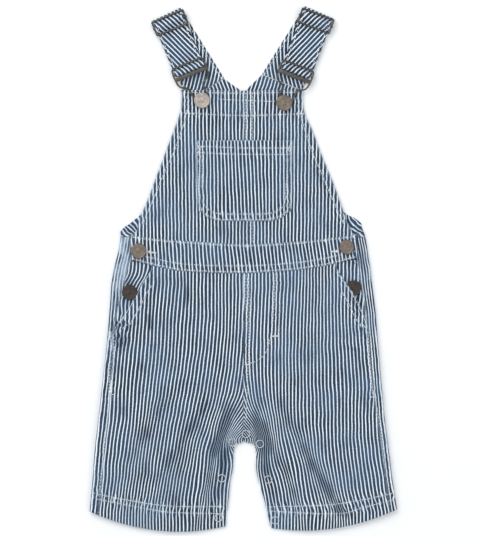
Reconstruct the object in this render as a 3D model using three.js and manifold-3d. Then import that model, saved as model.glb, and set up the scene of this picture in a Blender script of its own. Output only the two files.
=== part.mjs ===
// Child's short bib overalls in hickory stripe, laid flat on the back.
// Millimetres. +Z up from the surface, +Y towards the shoulders, +X towards the wearer's left.
// Each cut piece of cloth is a closed wall. Tables give the laid outlines, and one height
// function gives the form that the front pieces share.
import * as THREE from 'three';
import { mergeVertices } from 'three/addons/utils/BufferGeometryUtils.js';
import Module from 'manifold-3d';

const wasm = await Module();
wasm.setup();

// Cloth
const CLOTH = 1.2;
const HALF = CLOTH / 2;
const SEAM_GAP = 0.3;
const LAYER = CLOTH + 0.35;
const LIE = CLOTH + SEAM_GAP + HALF;

// Levels of the front's middle surface above the floor
const CENTRE_LEVEL = 2.7;
const THIGH_LEVEL = 3.6;
const SIDE_LEVEL = 5.05;
const BIB_EDGE_LEVEL = 2.5;
const BIB_LEVEL = 3.1;
const BAND_RAISE = 0.45;

// Straps and metal
const STRAP_HALF_WIDTH = 15.5;
const WIRE_RADIUS = 0.9;
const WIRE_CLEAR = WIRE_RADIUS + SEAM_GAP + HALF;
const BUTTON_RADIUS = 8;
const BUTTON_CAP = 2.4;
const SIDE_BUTTON_CAP = 2.0;
const STEM_RADIUS = 3;
const SNAP_RADIUS = 4.3;
const BUTTON_SIDES = 18;
const SNAP_SIDES = 12;

// Steps of each wall's grid
const STEPS = {
  frontDown: 24,
  frontAcross: 12,
  backDown: 26,
  backFlat: 6,
  backFold: 5,
  backFront: 1,
  backBibDown: 18,
  tail: 5,
  bibDown: 16,
  bibAcross: 7,
  facingDown: 9,
  facingAcross: 5,
  pocketDown: 14,
  pocketAcross: 9,
  bandDown: 3,
  bandAcross: 24,
};

// Sides are the wearer's: the right one lies at negative x
const SIDES = { right: -1, left: 1 };

// Outer folds of the body: distance from the centre line at each height y
const OUTER_FOLD = [
  { y: 60, right: 122.5, left: 119.0 },
  { y: 39, right: 122.5, left: 119.5 },
  { y: 31, right: 122.7, left: 121.5 },
  { y: 19, right: 124.5, left: 123.5 },
  { y: 3, right: 128.5, left: 126.5 },
  { y: -13, right: 131.5, left: 128.7 },
  { y: -41, right: 133.5, left: 132.5 },
  { y: -77, right: 136.5, left: 135.5 },
  { y: -113, right: 140.5, left: 138.5 },
  { y: -149, right: 144.5, left: 141.5 },
  { y: -181, right: 148.3, left: 145.5 },
  { y: -213, right: 150.7, left: 149.5 },
  { y: -243, right: 153.5, left: 153.5 },
];

// Radius of the outer folds: small beside the pockets, fuller down the legs
const FOLD_RADIUS = [
  { y: 40, radius: 1.1 },
  { y: 20, radius: 1.4 },
  { y: -50, radius: 1.5 },
  { y: -80, radius: 2.2 },
  { y: -245, radius: 2.2 },
];

// Side seams, which lie on the front, and the edges of the side openings above them
const SIDE_SEAM = [
  { y: 33, right: 112.5, left: 113.5 },
  { y: 10, right: 113.5, left: 114.5 },
  { y: -16, right: 120.5, left: 118.5 },
  { y: -41, right: 126.5, left: 122.5 },
  { y: -62, right: 130.5, left: 125.0 },
  { y: -95, right: 131.5, left: 127.5 },
  { y: -126, right: 133.0, left: 130.5 },
  { y: -171, right: 137.5, left: 137.5 },
  { y: -227, right: 143.5, left: 144.5 },
  { y: -247, right: 145.5, left: 146.5 },
];

// Slanted edges of the side pockets
const POCKET_SLANT = [
  { y: 8, right: 91.0, left: 90.0 },
  { y: -1, right: 92.5, left: 94.0 },
  { y: -14, right: 100.5, left: 102.2 },
  { y: -27, right: 107.0, left: 111.5 },
  { y: -43, right: 117.0, left: 119.5 },
  { y: -60, right: 130.0, left: 125.0 },
];

// Rows of the legs from the waist seam to the hem: the inner edge's place, then the row's
// height at its inner end, its middle and the outer fold
const LEG_ROWS = {
  right: [
    { inner: 0.0, yInner: -4.2, yMiddle: -2.8, yOuter: 11.0 },
    { inner: 0.0, yInner: -24.0, yMiddle: -23.0, yOuter: -13.0 },
    { inner: 0.0, yInner: -46.0, yMiddle: -45.0, yOuter: -39.0 },
    { inner: 0.0, yInner: -71.0, yMiddle: -69.0, yOuter: -64.0 },
    { inner: 0.0, yInner: -103.0, yMiddle: -99.0, yOuter: -95.0 },
    { inner: 0.0, yInner: -133.0, yMiddle: -128.0, yOuter: -124.0 },
    { inner: 0.0, yInner: -155.0, yMiddle: -151.0, yOuter: -147.0 },
    { inner: 0.0, yInner: -169.0, yMiddle: -168.0, yOuter: -165.0 },
    { inner: 4.8, yInner: -177.0, yMiddle: -180.0, yOuter: -178.0 },
    { inner: 8.5, yInner: -186.0, yMiddle: -192.0, yOuter: -190.0 },
    { inner: 9.5, yInner: -199.0, yMiddle: -204.0, yOuter: -200.0 },
    { inner: 12.5, yInner: -214.0, yMiddle: -218.0, yOuter: -214.0 },
    { inner: 14.8, yInner: -232.0, yMiddle: -235.0, yOuter: -227.0 },
    { inner: 18.5, yInner: -257.5, yMiddle: -261.5, yOuter: -242.5 },
  ],
  left: [
    { inner: 0.0, yInner: -4.2, yMiddle: -0.8, yOuter: 14.0 },
    { inner: 0.0, yInner: -24.0, yMiddle: -21.0, yOuter: -11.0 },
    { inner: 0.0, yInner: -46.0, yMiddle: -43.0, yOuter: -36.0 },
    { inner: 0.0, yInner: -71.0, yMiddle: -68.0, yOuter: -59.0 },
    { inner: 0.0, yInner: -103.0, yMiddle: -98.0, yOuter: -92.0 },
    { inner: 0.0, yInner: -133.0, yMiddle: -128.0, yOuter: -123.0 },
    { inner: 0.0, yInner: -155.0, yMiddle: -151.0, yOuter: -147.0 },
    { inner: 0.0, yInner: -169.0, yMiddle: -168.0, yOuter: -165.0 },
    { inner: 9.6, yInner: -177.0, yMiddle: -180.0, yOuter: -178.0 },
    { inner: 12.3, yInner: -187.0, yMiddle: -192.0, yOuter: -190.0 },
    { inner: 13.0, yInner: -201.0, yMiddle: -205.0, yOuter: -201.0 },
    { inner: 15.8, yInner: -214.0, yMiddle: -218.0, yOuter: -214.0 },
    { inner: 20.5, yInner: -230.0, yMiddle: -235.0, yOuter: -228.0 },
    { inner: 27.5, yInner: -259.0, yMiddle: -259.5, yOuter: -240.5 },
  ],
};
const BACK_WAIST = { yInner: 31.4, yMiddle: 31.4, yOuter: 31.0 };

// Front bib: side edges, and the height of each row at the side edge and the centre seam
const BIB_ROWS = [
  { right: 62.0, left: 60.0, ySide: 179.0, yCentre: 178.0 },
  { right: 61.5, left: 59.0, ySide: 171.0, yCentre: 170.0 },
  { right: 63.5, left: 61.0, ySide: 156.0, yCentre: 154.0 },
  { right: 69.5, left: 68.5, ySide: 139.0, yCentre: 137.0 },
  { right: 78.5, left: 77.5, ySide: 115.0, yCentre: 112.0 },
  { right: 87.5, left: 87.5, ySide: 91.0, yCentre: 87.0 },
  { right: 96.5, left: 96.5, ySide: 67.0, yCentre: 61.0 },
  { right: 103.2, left: 101.5, ySide: 52.0, yCentre: 45.0 },
  { right: 105.5, left: 106.0, ySide: 42.0, yCentre: 34.0 },
  { right: 110.0, left: 110.0, ySide: 33.3, yCentre: 25.0 },
];

// Waistband: its top and bottom edges from the wearer's right end to the left one
const WAISTBAND = [
  { x: -112.5, top: 33.5, bottom: 9.5 },
  { x: -86.0, top: 30.0, bottom: 2.6 },
  { x: -59.5, top: 28.0, bottom: -2.2 },
  { x: 0.0, top: 24.7, bottom: -4.0 },
  { x: 51.5, top: 27.0, bottom: -1.0 },
  { x: 82.0, top: 30.2, bottom: 3.6 },
  { x: 113.5, top: 34.2, bottom: 11.3 },
];

// Bib pocket: its sides at each height, with the lower corners rounded by the last rows
const POCKET_ROWS = [
  { y: 128.5, right: 48.0, left: 49.5 },
  { y: 112.0, right: 47.7, left: 48.8 },
  { y: 64.0, right: 45.5, left: 48.2 },
  { y: 57.0, right: 42.0, left: 44.5 },
  { y: 52.0, right: 36.0, left: 38.5 },
  { y: 49.3, right: 28.0, left: 31.0 },
  { y: 48.3, right: 20.0, left: 23.0 },
];

// Back bib: how far each row's cloth reaches on each side, and whether its end has come
// round the outer fold on to the front
const BACK_BIB_ROWS = [
  { y: 32.4, right: 110.0, rightLies: 'front', left: 109.5, leftLies: 'front' },
  { y: 36.0, right: 115.5, rightLies: 'front', left: 113.5, leftLies: 'front' },
  { y: 38.5, right: 122.0, rightLies: 'fold', left: 119.0, leftLies: 'fold' },
  { y: 42.0, right: 119.0, rightLies: 'floor', left: 118.5, leftLies: 'floor' },
  { y: 46.0, right: 113.0, rightLies: 'floor', left: 117.5, leftLies: 'floor' },
  { y: 51.0, right: 107.0, rightLies: 'floor', left: 111.0, leftLies: 'floor' },
  { y: 56.0, right: 101.0, rightLies: 'floor', left: 101.5, leftLies: 'floor' },
  { y: 67.0, right: 91.5, rightLies: 'floor', left: 93.5, leftLies: 'floor' },
  { y: 84.0, right: 80.5, rightLies: 'floor', left: 81.5, leftLies: 'floor' },
  { y: 109.0, right: 71.5, rightLies: 'floor', left: 69.5, leftLies: 'floor' },
  { y: 139.0, right: 62.5, rightLies: 'floor', left: 60.5, leftLies: 'floor' },
  { y: 159.0, right: 57.5, rightLies: 'floor', left: 58.5, leftLies: 'floor' },
  { y: 177.0, right: 55.5, rightLies: 'floor', left: 58.5, leftLies: 'floor' },
];

// Neckline of the back bib above the row at BACK_NECK_BASE, with the straps' seams beside it
const BACK_NECK_BASE = 177;
const NECK_START = 139;
const BACK_NECKLINE = [
  { x: -55.5, y: 169.1 },
  { x: -19.5, y: 190.7 },
  { x: 0.0, y: 177.0 },
  { x: 18.5, y: 194.7 },
  { x: 58.5, y: 178.7 },
];

// Straps: the middle of the back seam, of the shoulder fold and of the button, with the
// lean of the cloth's width at each, in degrees from +X
const STRAPS = {
  right: {
    seam: { x: -37.5, y: 180.2, half: 21, lean: 31 },
    fold: { x: -77.0, y: 254.5, lean: 25 },
    button: { x: -41.5, y: 168.5 },
  },
  left: {
    seam: { x: 38.5, y: 187.0, half: 21.5, lean: -21.8 },
    fold: { x: 75.5, y: 256.5, lean: -23.4 },
    button: { x: 40.7, y: 166.0 },
  },
};

// Run of a strap's front from the shoulder fold, as distance from the fold and height:
// under and over the slider's bars, round the buckle's bar and back to the slider
const SLIDER_TOP = 1.8;
const SLIDER_PITCH = 7.2;
const SLIDER_MIDDLE = SLIDER_TOP + SLIDER_PITCH;
const SLIDER_BOTTOM = SLIDER_MIDDLE + SLIDER_PITCH;
const BACK_STRAP_LEVEL = HALF;
const SHOULDER_LEVEL = 3.0;
const RETURN_LEVEL = 2.1;
const FRONT_STRAP_LEVEL = 3.6;
const SLIDER_LEVELS = { top: 4.8, middle: 5.1, bottom: 5.4 };
const BUCKLE_LEVEL = 5.4;

// Buckle outline, from its button's centre: half-widths at each distance up the strap
const BUCKLE_TOP = 40;
const BUCKLE_WRAP_BAR = 33.6;
const BUCKLE_PLATE = 28.5;
const PLATE_HEIGHT = 3.8;
const PLATE_THICK = 1.4;
const BUCKLE_OUTLINE = [
  { half: 0.0, along: -6.2 },
  { half: 4.6, along: -4.0 },
  { half: 6.2, along: 2.0 },
  { half: 7.2, along: 9.0 },
  { half: 7.2, along: 16.4 },
  { half: 12.0, along: 18.0 },
  { half: 16.0, along: 21.0 },
  { half: 17.2, along: 28.5 },
  { half: 16.9, along: 38.2 },
  { half: 15.1, along: 40.0 },
  { half: 0.0, along: 40.0 },
];

// Buttons on the waistband's ends and inside the pockets, and snaps along the inseam
const WAIST_BUTTONS = {
  right: { x: -104.7, y: 18.1, radius: 7.8 },
  left: { x: 103.0, y: 21.9, radius: 7.3 },
};
const SIDE_BUTTONS = {
  right: { x: -113.9, y: -23.2, radius: 7.6 },
  left: { x: 110.1, y: -19.0, radius: 7.6 },
};
const SNAPS = [
  { name: 'snap_crotch', x: 2.4, y: -165.0 },
  { name: 'snap_right_top', x: -11.0, y: -173.5 },
  { name: 'snap_left_top', x: 16.5, y: -174.9 },
  { name: 'snap_right_middle', x: -21.7, y: -209.3 },
  { name: 'snap_left_middle', x: 24.8, y: -210.6 },
  { name: 'snap_right_hem', x: -25.1, y: -249.0 },
  { name: 'snap_left_hem', x: 31.7, y: -251.5 },
];

// Pocket facings: their tuck under the slanted edge, their end, and their middle at the top
const FACING_TUCK = 11;
const FACING_END = -61;
const FACING_MIDDLE = 106;

// Least space between the bib's rows and the waistband
const ROW_GAP = 6;

// Widths over which the front settles from its folds and seams, and the heights between
// which the trousers' form becomes the bib's
const SETTLE = { side: 62, inseam: 42, bib: 30 };
const BIB_START = { from: 22, to: 80 };
const CROTCH = { from: -185, to: -150 };

// Largest soft folds of the front, as ridges from one point to another
const FOLDS = [
  { name: 'left thigh', x1: 30, y1: -128, x2: 90, y2: -244, half: 15, rise: 1.3 },
  { name: 'right thigh', x1: -46, y1: -120, x2: -78, y2: -244, half: 16, rise: 0.9 },
  { name: 'left crotch', x1: 12, y1: -128, x2: 32, y2: -205, half: 7, rise: 1.0 },
  { name: 'right crotch', x1: -12, y1: -128, x2: -28, y2: -205, half: 7, rise: 1.0 },
  { name: 'right pocket', x1: -96, y1: -26, x2: -99, y2: -66, half: 6, rise: 0.9 },
  { name: 'left hip', x1: 84, y1: -12, x2: 92, y2: -70, half: 9, rise: 0.7 },
  { name: 'right bib', x1: -46, y1: 150, x2: -66, y2: 80, half: 9, rise: 0.6 },
  { name: 'left bib', x1: 46, y1: 150, x2: 68, y2: 80, half: 9, rise: 0.6 },
  { name: 'fly', x1: 20, y1: -15, x2: 24, y2: -60, half: 7, rise: 0.5 },
];
const BUTTON_PRESS = { half: 16, rise: 1.5 };
const BUTTON_BULGE = { half: 15, rise: 3.5 };

const CLOTH_FINISH = { color: 0x51698f, roughness: 0.92, metalness: 0 };
const METAL_FINISH = { color: 0x4b4744, roughness: 0.45, metalness: 0.9 };
const BUTTON_FINISH = { color: 0x8a7b6c, roughness: 0.5, metalness: 0.85 };
const BIB_BUTTON_FINISH = { color: 0xb3a192, roughness: 0.5, metalness: 0.85 };
const SNAP_FINISH = { color: 0xc9ccd4, roughness: 0.6, metalness: 0.5 };

const { clamp, degToRad, lerp, smoothstep } = THREE.MathUtils;

// Value of a table's column at a place between its rows, on a smooth curve
function along(table, key, column, at) {
  const descending = table[0][key] > table[table.length - 1][key];
  const rows = descending ? [...table].reverse() : table;
  const last = rows.length - 1;
  if (at <= rows[0][key]) return rows[0][column];
  if (at >= rows[last][key]) return rows[last][column];
  const k = rows.findIndex((row) => row[key] > at) - 1;
  const slope = (m) => {
    const a = rows[Math.max(m - 1, 0)];
    const b = rows[Math.min(m + 1, last)];
    return (b[column] - a[column]) / (b[key] - a[key]);
  };
  const span = rows[k + 1][key] - rows[k][key];
  const t = (at - rows[k][key]) / span;
  const [p, q] = [rows[k][column], rows[k + 1][column]];
  const [u, v] = [slope(k) * span, slope(k + 1) * span];
  return p + t * (u + t * (3 * (q - p) - 2 * u - v + t * (2 * (p - q) + u + v)));
}

// The same on straight stretches
function straight(table, key, column, at) {
  const past = table.filter((row) => row[key] <= at).length;
  const k = clamp(past - 1, 0, table.length - 2);
  const [a, b] = [table[k], table[k + 1]];
  return lerp(a[column], b[column], clamp((at - a[key]) / (b[key] - a[key]), 0, 1));
}

// A table's row at a fraction of its length, every column on a smooth curve
function rowAt(table, fraction) {
  const indexed = table.map((row, index) => ({ ...row, index }));
  const at = fraction * (table.length - 1);
  const columns = Object.keys(table[0]).filter((c) => typeof table[0][c] === 'number');
  return Object.fromEntries(columns.map((c) => [c, along(indexed, 'index', c, at)]));
}

const sideOf = (x) => (x < 0 ? 'right' : 'left');
const foldX = (side, y) => along(OUTER_FOLD, 'y', side, y);
const foldRadius = (y) => along(FOLD_RADIUS, 'y', 'radius', y);

// Inner edge of a leg at height y: the centre seam above the crotch, the inseam below it
function inseamX(side, y) {
  const rows = LEG_ROWS[side].slice(7);
  return y > rows[0].yInner ? 0 : along(rows, 'yInner', 'inner', y);
}

function ridge({ x1, y1, x2, y2, half, rise }, x, y) {
  const length2 = (x2 - x1) ** 2 + (y2 - y1) ** 2;
  const t = clamp(((x - x1) * (x2 - x1) + (y - y1) * (y2 - y1)) / length2, 0, 1);
  const distance = Math.hypot(x - lerp(x1, x2, t), y - lerp(y1, y2, t));
  return rise * Math.exp(-((distance / half) ** 2));
}

function bump({ x, y }, { half, rise }, px, py) {
  return rise * Math.exp(-(((px - x) ** 2 + (py - y) ** 2) / half ** 2));
}

// Middle surface of the front without the bulge over the left side button
function frontLevel(x, y) {
  const side = sideOf(x);
  const reach = Math.abs(x);
  const toFold = foldX(side, y) - reach;
  const toInseam = reach - inseamX(side, y);
  const crotch = smoothstep(y, CROTCH.from, CROTCH.to);
  const seam = lerp(LIE, CENTRE_LEVEL, crotch);
  const inner = lerp(seam, THIGH_LEVEL, smoothstep(toInseam, 0, SETTLE.inseam));
  const trousers = lerp(SIDE_LEVEL, inner, smoothstep(toFold, 6, SETTLE.side));
  const bibHalf = along(BIB_ROWS, 'ySide', side, y);
  const bib = lerp(BIB_EDGE_LEVEL, BIB_LEVEL, smoothstep(bibHalf - reach, 0, SETTLE.bib));
  const folds = FOLDS.reduce((sum, fold) => sum + ridge(fold, x, y), 0);
  return lerp(trousers, bib, smoothstep(y, BIB_START.from, BIB_START.to)) + folds;
}

const frontHeight = (x, y) => frontLevel(x, y) + bump(SIDE_BUTTONS.left, BUTTON_BULGE, x, y);
const bandHeight = (x, y) => frontHeight(x, y) + BAND_RAISE;
const pocketHeight = (x, y) => frontHeight(x, y) + LAYER;

function facingHeight(x, y) {
  const pressed = bump(SIDE_BUTTONS[sideOf(x)], BUTTON_PRESS, x, y);
  return Math.max(LIE, frontLevel(x, y) - LAYER - pressed);
}

// Cloth that lies on the floor as far as an outer fold and then comes round on to the front.
// The distance is measured on the cloth from the centre line.
function wrapped(distance, fold, radius) {
  const flat = fold - radius;
  const turn = Math.PI * radius;
  if (distance <= flat) return { reach: distance, z: HALF };
  if (distance >= flat + turn) return { reach: 2 * flat + turn - distance, z: HALF + 2 * radius };
  const angle = (distance - flat) / radius;
  return { reach: flat + radius * Math.sin(angle), z: HALF + radius * (1 - Math.cos(angle)) };
}

function clothDistance(reach, lies, fold, radius) {
  const flat = fold - radius;
  const turn = Math.PI * radius;
  return { floor: reach, fold: flat + turn / 2, front: 2 * flat + turn - reach }[lies];
}

// Closed wall round a grid of points on its middle surface, half the thickness each way
function wall(rows, thick = CLOTH) {
  const [nj, ni] = [rows.length, rows[0].length];
  const at = (j, i) => rows[clamp(j, 0, nj - 1)][clamp(i, 0, ni - 1)];
  const positions = [];
  for (const face of [1, -1]) {
    for (let j = 0; j < nj; j += 1) {
      for (let i = 0; i < ni; i += 1) {
        const across = at(j, i + 1).clone().sub(at(j, i - 1));
        const down = at(j + 1, i).clone().sub(at(j - 1, i));
        const normal = down.cross(across).normalize();
        positions.push(...at(j, i).clone().addScaledVector(normal, (face * thick) / 2));
      }
    }
  }
  const index = [];
  const quad = (a, b, c, d) => index.push(a, b, c, a, c, d);
  const top = (j, i) => j * ni + i;
  const under = (j, i) => nj * ni + top(j, i);
  for (let j = 0; j < nj - 1; j += 1) {
    for (let i = 0; i < ni - 1; i += 1) {
      quad(top(j, i), top(j + 1, i), top(j + 1, i + 1), top(j, i + 1));
      quad(under(j, i), under(j, i + 1), under(j + 1, i + 1), under(j + 1, i));
    }
    quad(top(j, 0), under(j, 0), under(j + 1, 0), top(j + 1, 0));
    quad(top(j, ni - 1), top(j + 1, ni - 1), under(j + 1, ni - 1), under(j, ni - 1));
  }
  for (let i = 0; i < ni - 1; i += 1) {
    quad(top(0, i), top(0, i + 1), under(0, i + 1), under(0, i));
    quad(top(nj - 1, i), under(nj - 1, i), under(nj - 1, i + 1), top(nj - 1, i + 1));
  }
  return outward(positions, index);
}

// Indexed geometry with its faces pointing out
function outward(positions, index) {
  let volume = 0;
  const corner = (k) => new THREE.Vector3().fromArray(positions, 3 * index[k]);
  for (let k = 0; k < index.length; k += 3) {
    volume += corner(k).dot(corner(k + 1).cross(corner(k + 2)));
  }
  const faces = volume > 0 ? index : [...index].reverse();
  const geometry = new THREE.BufferGeometry();
  geometry.setAttribute('position', new THREE.Float32BufferAttribute(positions, 3));
  geometry.setIndex(faces);
  geometry.computeVertexNormals();
  return geometry;
}

// Grid of points from a function of two fractions
function gridOf(downSteps, acrossSteps, place) {
  const fractions = (n) => Array.from({ length: n + 1 }, (_, k) => k / n);
  return fractions(downSteps).map((v) => fractions(acrossSteps).map((u) => place(u, v)));
}

const group = new THREE.Group();

function add(name, geometry, finish) {
  const mesh = new THREE.Mesh(geometry, new THREE.MeshStandardMaterial(finish));
  mesh.name = name;
  group.add(mesh);
  return mesh;
}

// Row of a leg at a fraction of its length, whose inner edge never passes the centre line
function legRow(table, fraction) {
  const row = rowAt(table, fraction);
  return { ...row, inner: Math.max(row.inner, 0) };
}

// Height of a leg's row at a reach from the centre line
function legRowY(row, reach, fold) {
  const s = (reach - row.inner) / (fold - row.inner);
  const [a, b, c] = [row.yInner, row.yMiddle, row.yOuter];
  return a * (1 - s) * (1 - 2 * s) + 4 * b * s * (1 - s) + c * s * (2 * s - 1);
}

// Outer edge of the front leg: the pocket's slant above, the side seam below
function frontEdge(side, y) {
  const slantEnd = POCKET_SLANT[POCKET_SLANT.length - 1].y;
  return y > slantEnd ? along(POCKET_SLANT, 'y', side, y) : along(SIDE_SEAM, 'y', side, y);
}

function frontLeg(side) {
  const sign = SIDES[side];
  const rows = gridOf(STEPS.frontDown, STEPS.frontAcross, (u, v) => {
    const row = legRow(LEG_ROWS[side], v);
    const fold = foldX(side, row.yOuter);
    let reach = 0.9 * fold;
    for (let pass = 0; pass < 4; pass += 1) {
      reach = frontEdge(side, legRowY(row, reach, fold)) - SEAM_GAP / 2;
    }
    const x = lerp(row.inner + SEAM_GAP / 2, reach, u);
    const y = legRowY(row, x, fold) - (v === 0 ? SEAM_GAP : 0);
    return new THREE.Vector3(sign * x, y, frontHeight(sign * x, y));
  });
  add(`front_leg_${side}`, wall(rows), CLOTH_FINISH);
}

function backLeg(side) {
  const sign = SIDES[side];
  const [first, ...rest] = LEG_ROWS[side];
  const table = [{ ...first, ...BACK_WAIST }, ...rest];
  const counts = [STEPS.backFlat, STEPS.backFold, STEPS.backFront];
  const steps = counts[0] + counts[1] + counts[2];
  const rows = gridOf(STEPS.backDown, steps, (u, v) => {
    const row = legRow(table, v);
    const fold = foldX(side, row.yOuter);
    const radius = foldRadius(row.yOuter);
    const start = row.inner + SEAM_GAP / 2;
    const flat = fold - radius;
    const turn = Math.PI * radius;
    let edge = flat;
    for (let pass = 0; pass < 4; pass += 1) {
      edge = along(SIDE_SEAM, 'y', side, legRowY(row, edge, fold)) + SEAM_GAP;
    }
    const k = Math.round(u * steps);
    const stops = [start, flat, flat + turn, flat + turn + (flat - edge)];
    let [part, step] = [0, k];
    while (part < 2 && step > counts[part]) {
      step -= counts[part];
      part += 1;
    }
    const distance = lerp(stops[part], stops[part + 1], step / counts[part]);
    const { reach, z } = wrapped(distance, fold, radius);
    return new THREE.Vector3(sign * reach, legRowY(row, reach, fold), z);
  });
  add(`back_leg_${side}`, wall(rows), CLOTH_FINISH);
}

function pocketFacing(side) {
  const sign = SIDES[side];
  const rows = gridOf(STEPS.facingDown, STEPS.facingAcross, (u, v) => {
    const top = straight(WAISTBAND, 'x', 'bottom', sign * FACING_MIDDLE) - SEAM_GAP;
    const y = lerp(top, FACING_END, v);
    const outer = along(SIDE_SEAM, 'y', side, y) - SEAM_GAP / 2;
    const inner = Math.min(along(POCKET_SLANT, 'y', side, y), outer) - FACING_TUCK;
    const x = sign * lerp(outer, inner, u);
    const dip = v === 0 ? y - (straight(WAISTBAND, 'x', 'bottom', x) - SEAM_GAP) : 0;
    return new THREE.Vector3(x, y - Math.max(dip, 0), facingHeight(x, y));
  });
  add(`pocket_facing_${side}`, wall(rows), CLOTH_FINISH);
}

function bibPanel(side) {
  const sign = SIDES[side];
  const rows = gridOf(STEPS.bibDown, STEPS.bibAcross, (u, v) => {
    const row = rowAt(BIB_ROWS, v);
    const x = sign * lerp(SEAM_GAP / 2, row[side], u);
    const level = lerp(row.yCentre, row.ySide, u);
    const floor = along(WAISTBAND, 'x', 'top', x) + SEAM_GAP;
    const y = v === 1 ? floor : Math.max(level, floor + ROW_GAP * (1 - v));
    return new THREE.Vector3(x, y, frontHeight(x, y));
  });
  add(`bib_front_${side}`, wall(rows), CLOTH_FINISH);
}

function bibPocket() {
  const rows = gridOf(STEPS.pocketDown, STEPS.pocketAcross, (u, v) => {
    const row = rowAt(POCKET_ROWS, v);
    const x = lerp(-row.right, row.left, u);
    return new THREE.Vector3(x, row.y, pocketHeight(x, row.y));
  });
  add('bib_pocket', wall(rows), CLOTH_FINISH);
}

function waistband() {
  const [first, last] = [WAISTBAND[0].x, WAISTBAND[WAISTBAND.length - 1].x];
  const rows = gridOf(STEPS.bandDown, STEPS.bandAcross, (u, v) => {
    const x = lerp(first, last, u);
    const y = lerp(along(WAISTBAND, 'x', 'top', x), along(WAISTBAND, 'x', 'bottom', x), v);
    return new THREE.Vector3(x, y, bandHeight(x, y));
  });
  add('waistband_front', wall(rows), CLOTH_FINISH);
}

// Back bib columns: a run from the centre, and a last stretch that turns the outer fold
const BIB_TAIL = 20;
const NECK_STEPS = [0.26, 0.52, 0.68, 0.84, 1];

function backBib() {
  const columns = [];
  for (let k = STEPS.tail; k > 0; k -= 1) columns.push({ sign: -1, run: 1, tail: k / STEPS.tail });
  for (const run of [...NECK_STEPS].reverse()) columns.push({ sign: -1, run, tail: 0 });
  columns.push({ sign: 1, run: 0, tail: 0 });
  for (const run of NECK_STEPS) columns.push({ sign: 1, run, tail: 0 });
  for (let k = 1; k <= STEPS.tail; k += 1) columns.push({ sign: 1, run: 1, tail: k / STEPS.tail });
  const ends = BACK_BIB_ROWS.map((row) => {
    const cloth = (side) => {
      const [fold, radius] = [foldX(side, row.y), foldRadius(row.y)];
      return clothDistance(row[side], row[`${side}Lies`], fold, radius);
    };
    return { y: row.y, right: cloth('right'), left: cloth('left') };
  });
  const rows = Array.from({ length: STEPS.backBibDown + 1 }, (_, j) => {
    const row = rowAt(ends, j / STEPS.backBibDown);
    const neck = smoothstep(row.y, NECK_START, BACK_NECK_BASE);
    return columns.map(({ sign, run, tail }) => {
      const side = sign < 0 ? 'right' : 'left';
      const flatRun = row[side] - BIB_TAIL;
      const distance = flatRun * run + BIB_TAIL * tail;
      const { reach, z } = wrapped(distance, foldX(side, row.y), foldRadius(row.y));
      const x = sign * reach;
      const lift = straight(BACK_NECKLINE, 'x', 'y', x) - SEAM_GAP - BACK_NECK_BASE;
      return new THREE.Vector3(x, row.y + neck * lift, z);
    });
  });
  add('back_bib', wall(rows), CLOTH_FINISH);
}

// Plan of a strap's front: its axis runs from the shoulder fold to the button
function strapFrame(side) {
  const { fold, button } = STRAPS[side];
  const start = new THREE.Vector2(fold.x, fold.y);
  const end = new THREE.Vector2(button.x, button.y);
  const axis = end.clone().sub(start);
  const length = axis.length();
  axis.normalize();
  const across = new THREE.Vector2(-axis.y, axis.x);
  return { start, axis, across, length };
}

// Middle line of a strap's front in distance from the fold and height
function strapRun(length) {
  const wrapBar = length - BUCKLE_WRAP_BAR;
  const wrapRadius = WIRE_CLEAR;
  const shoulder = (SHOULDER_LEVEL - BACK_STRAP_LEVEL) / 2;
  const points = [];
  const turn = (at, level, radius, from, to, steps) => {
    for (let k = 0; k <= steps; k += 1) {
      const angle = degToRad(lerp(from, to, k / steps));
      points.push([at + radius * Math.cos(angle), level + radius * Math.sin(angle)]);
    }
  };
  turn(shoulder, BACK_STRAP_LEVEL + shoulder, shoulder, 270, 90, 6);
  points.push([SLIDER_TOP + 1.2, SHOULDER_LEVEL + 0.1]);
  turn(SLIDER_MIDDLE, SLIDER_LEVELS.middle, WIRE_CLEAR, 125, 55, 4);
  points.push([SLIDER_BOTTOM - 2.0, FRONT_STRAP_LEVEL + 0.2]);
  points.push([SLIDER_BOTTOM, FRONT_STRAP_LEVEL]);
  const dip = length - BUCKLE_TOP + 1.9;
  const middle = lerp(SLIDER_BOTTOM, dip, 0.5);
  points.push([middle - 6, FRONT_STRAP_LEVEL + 0.3], [middle + 6, FRONT_STRAP_LEVEL + 0.3]);
  points.push([dip - 2.4, FRONT_STRAP_LEVEL], [dip, FRONT_STRAP_LEVEL]);
  turn(wrapBar, BUCKLE_LEVEL, wrapRadius, 108, -90, 10);
  const back = length - BUCKLE_TOP;
  for (const [gap, level] of [[3.4, 2.3], [0, RETURN_LEVEL]]) points.push([back + gap, level]);
  points.push([lerp(back, SLIDER_BOTTOM, 0.5), RETURN_LEVEL]);
  points.push([SLIDER_BOTTOM - 1, RETURN_LEVEL]);
  points.push([SLIDER_MIDDLE + 2.4, SLIDER_LEVELS.middle - WIRE_CLEAR - 0.5]);
  points.push([SLIDER_MIDDLE, SLIDER_LEVELS.middle - WIRE_CLEAR]);
  return points;
}

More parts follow.
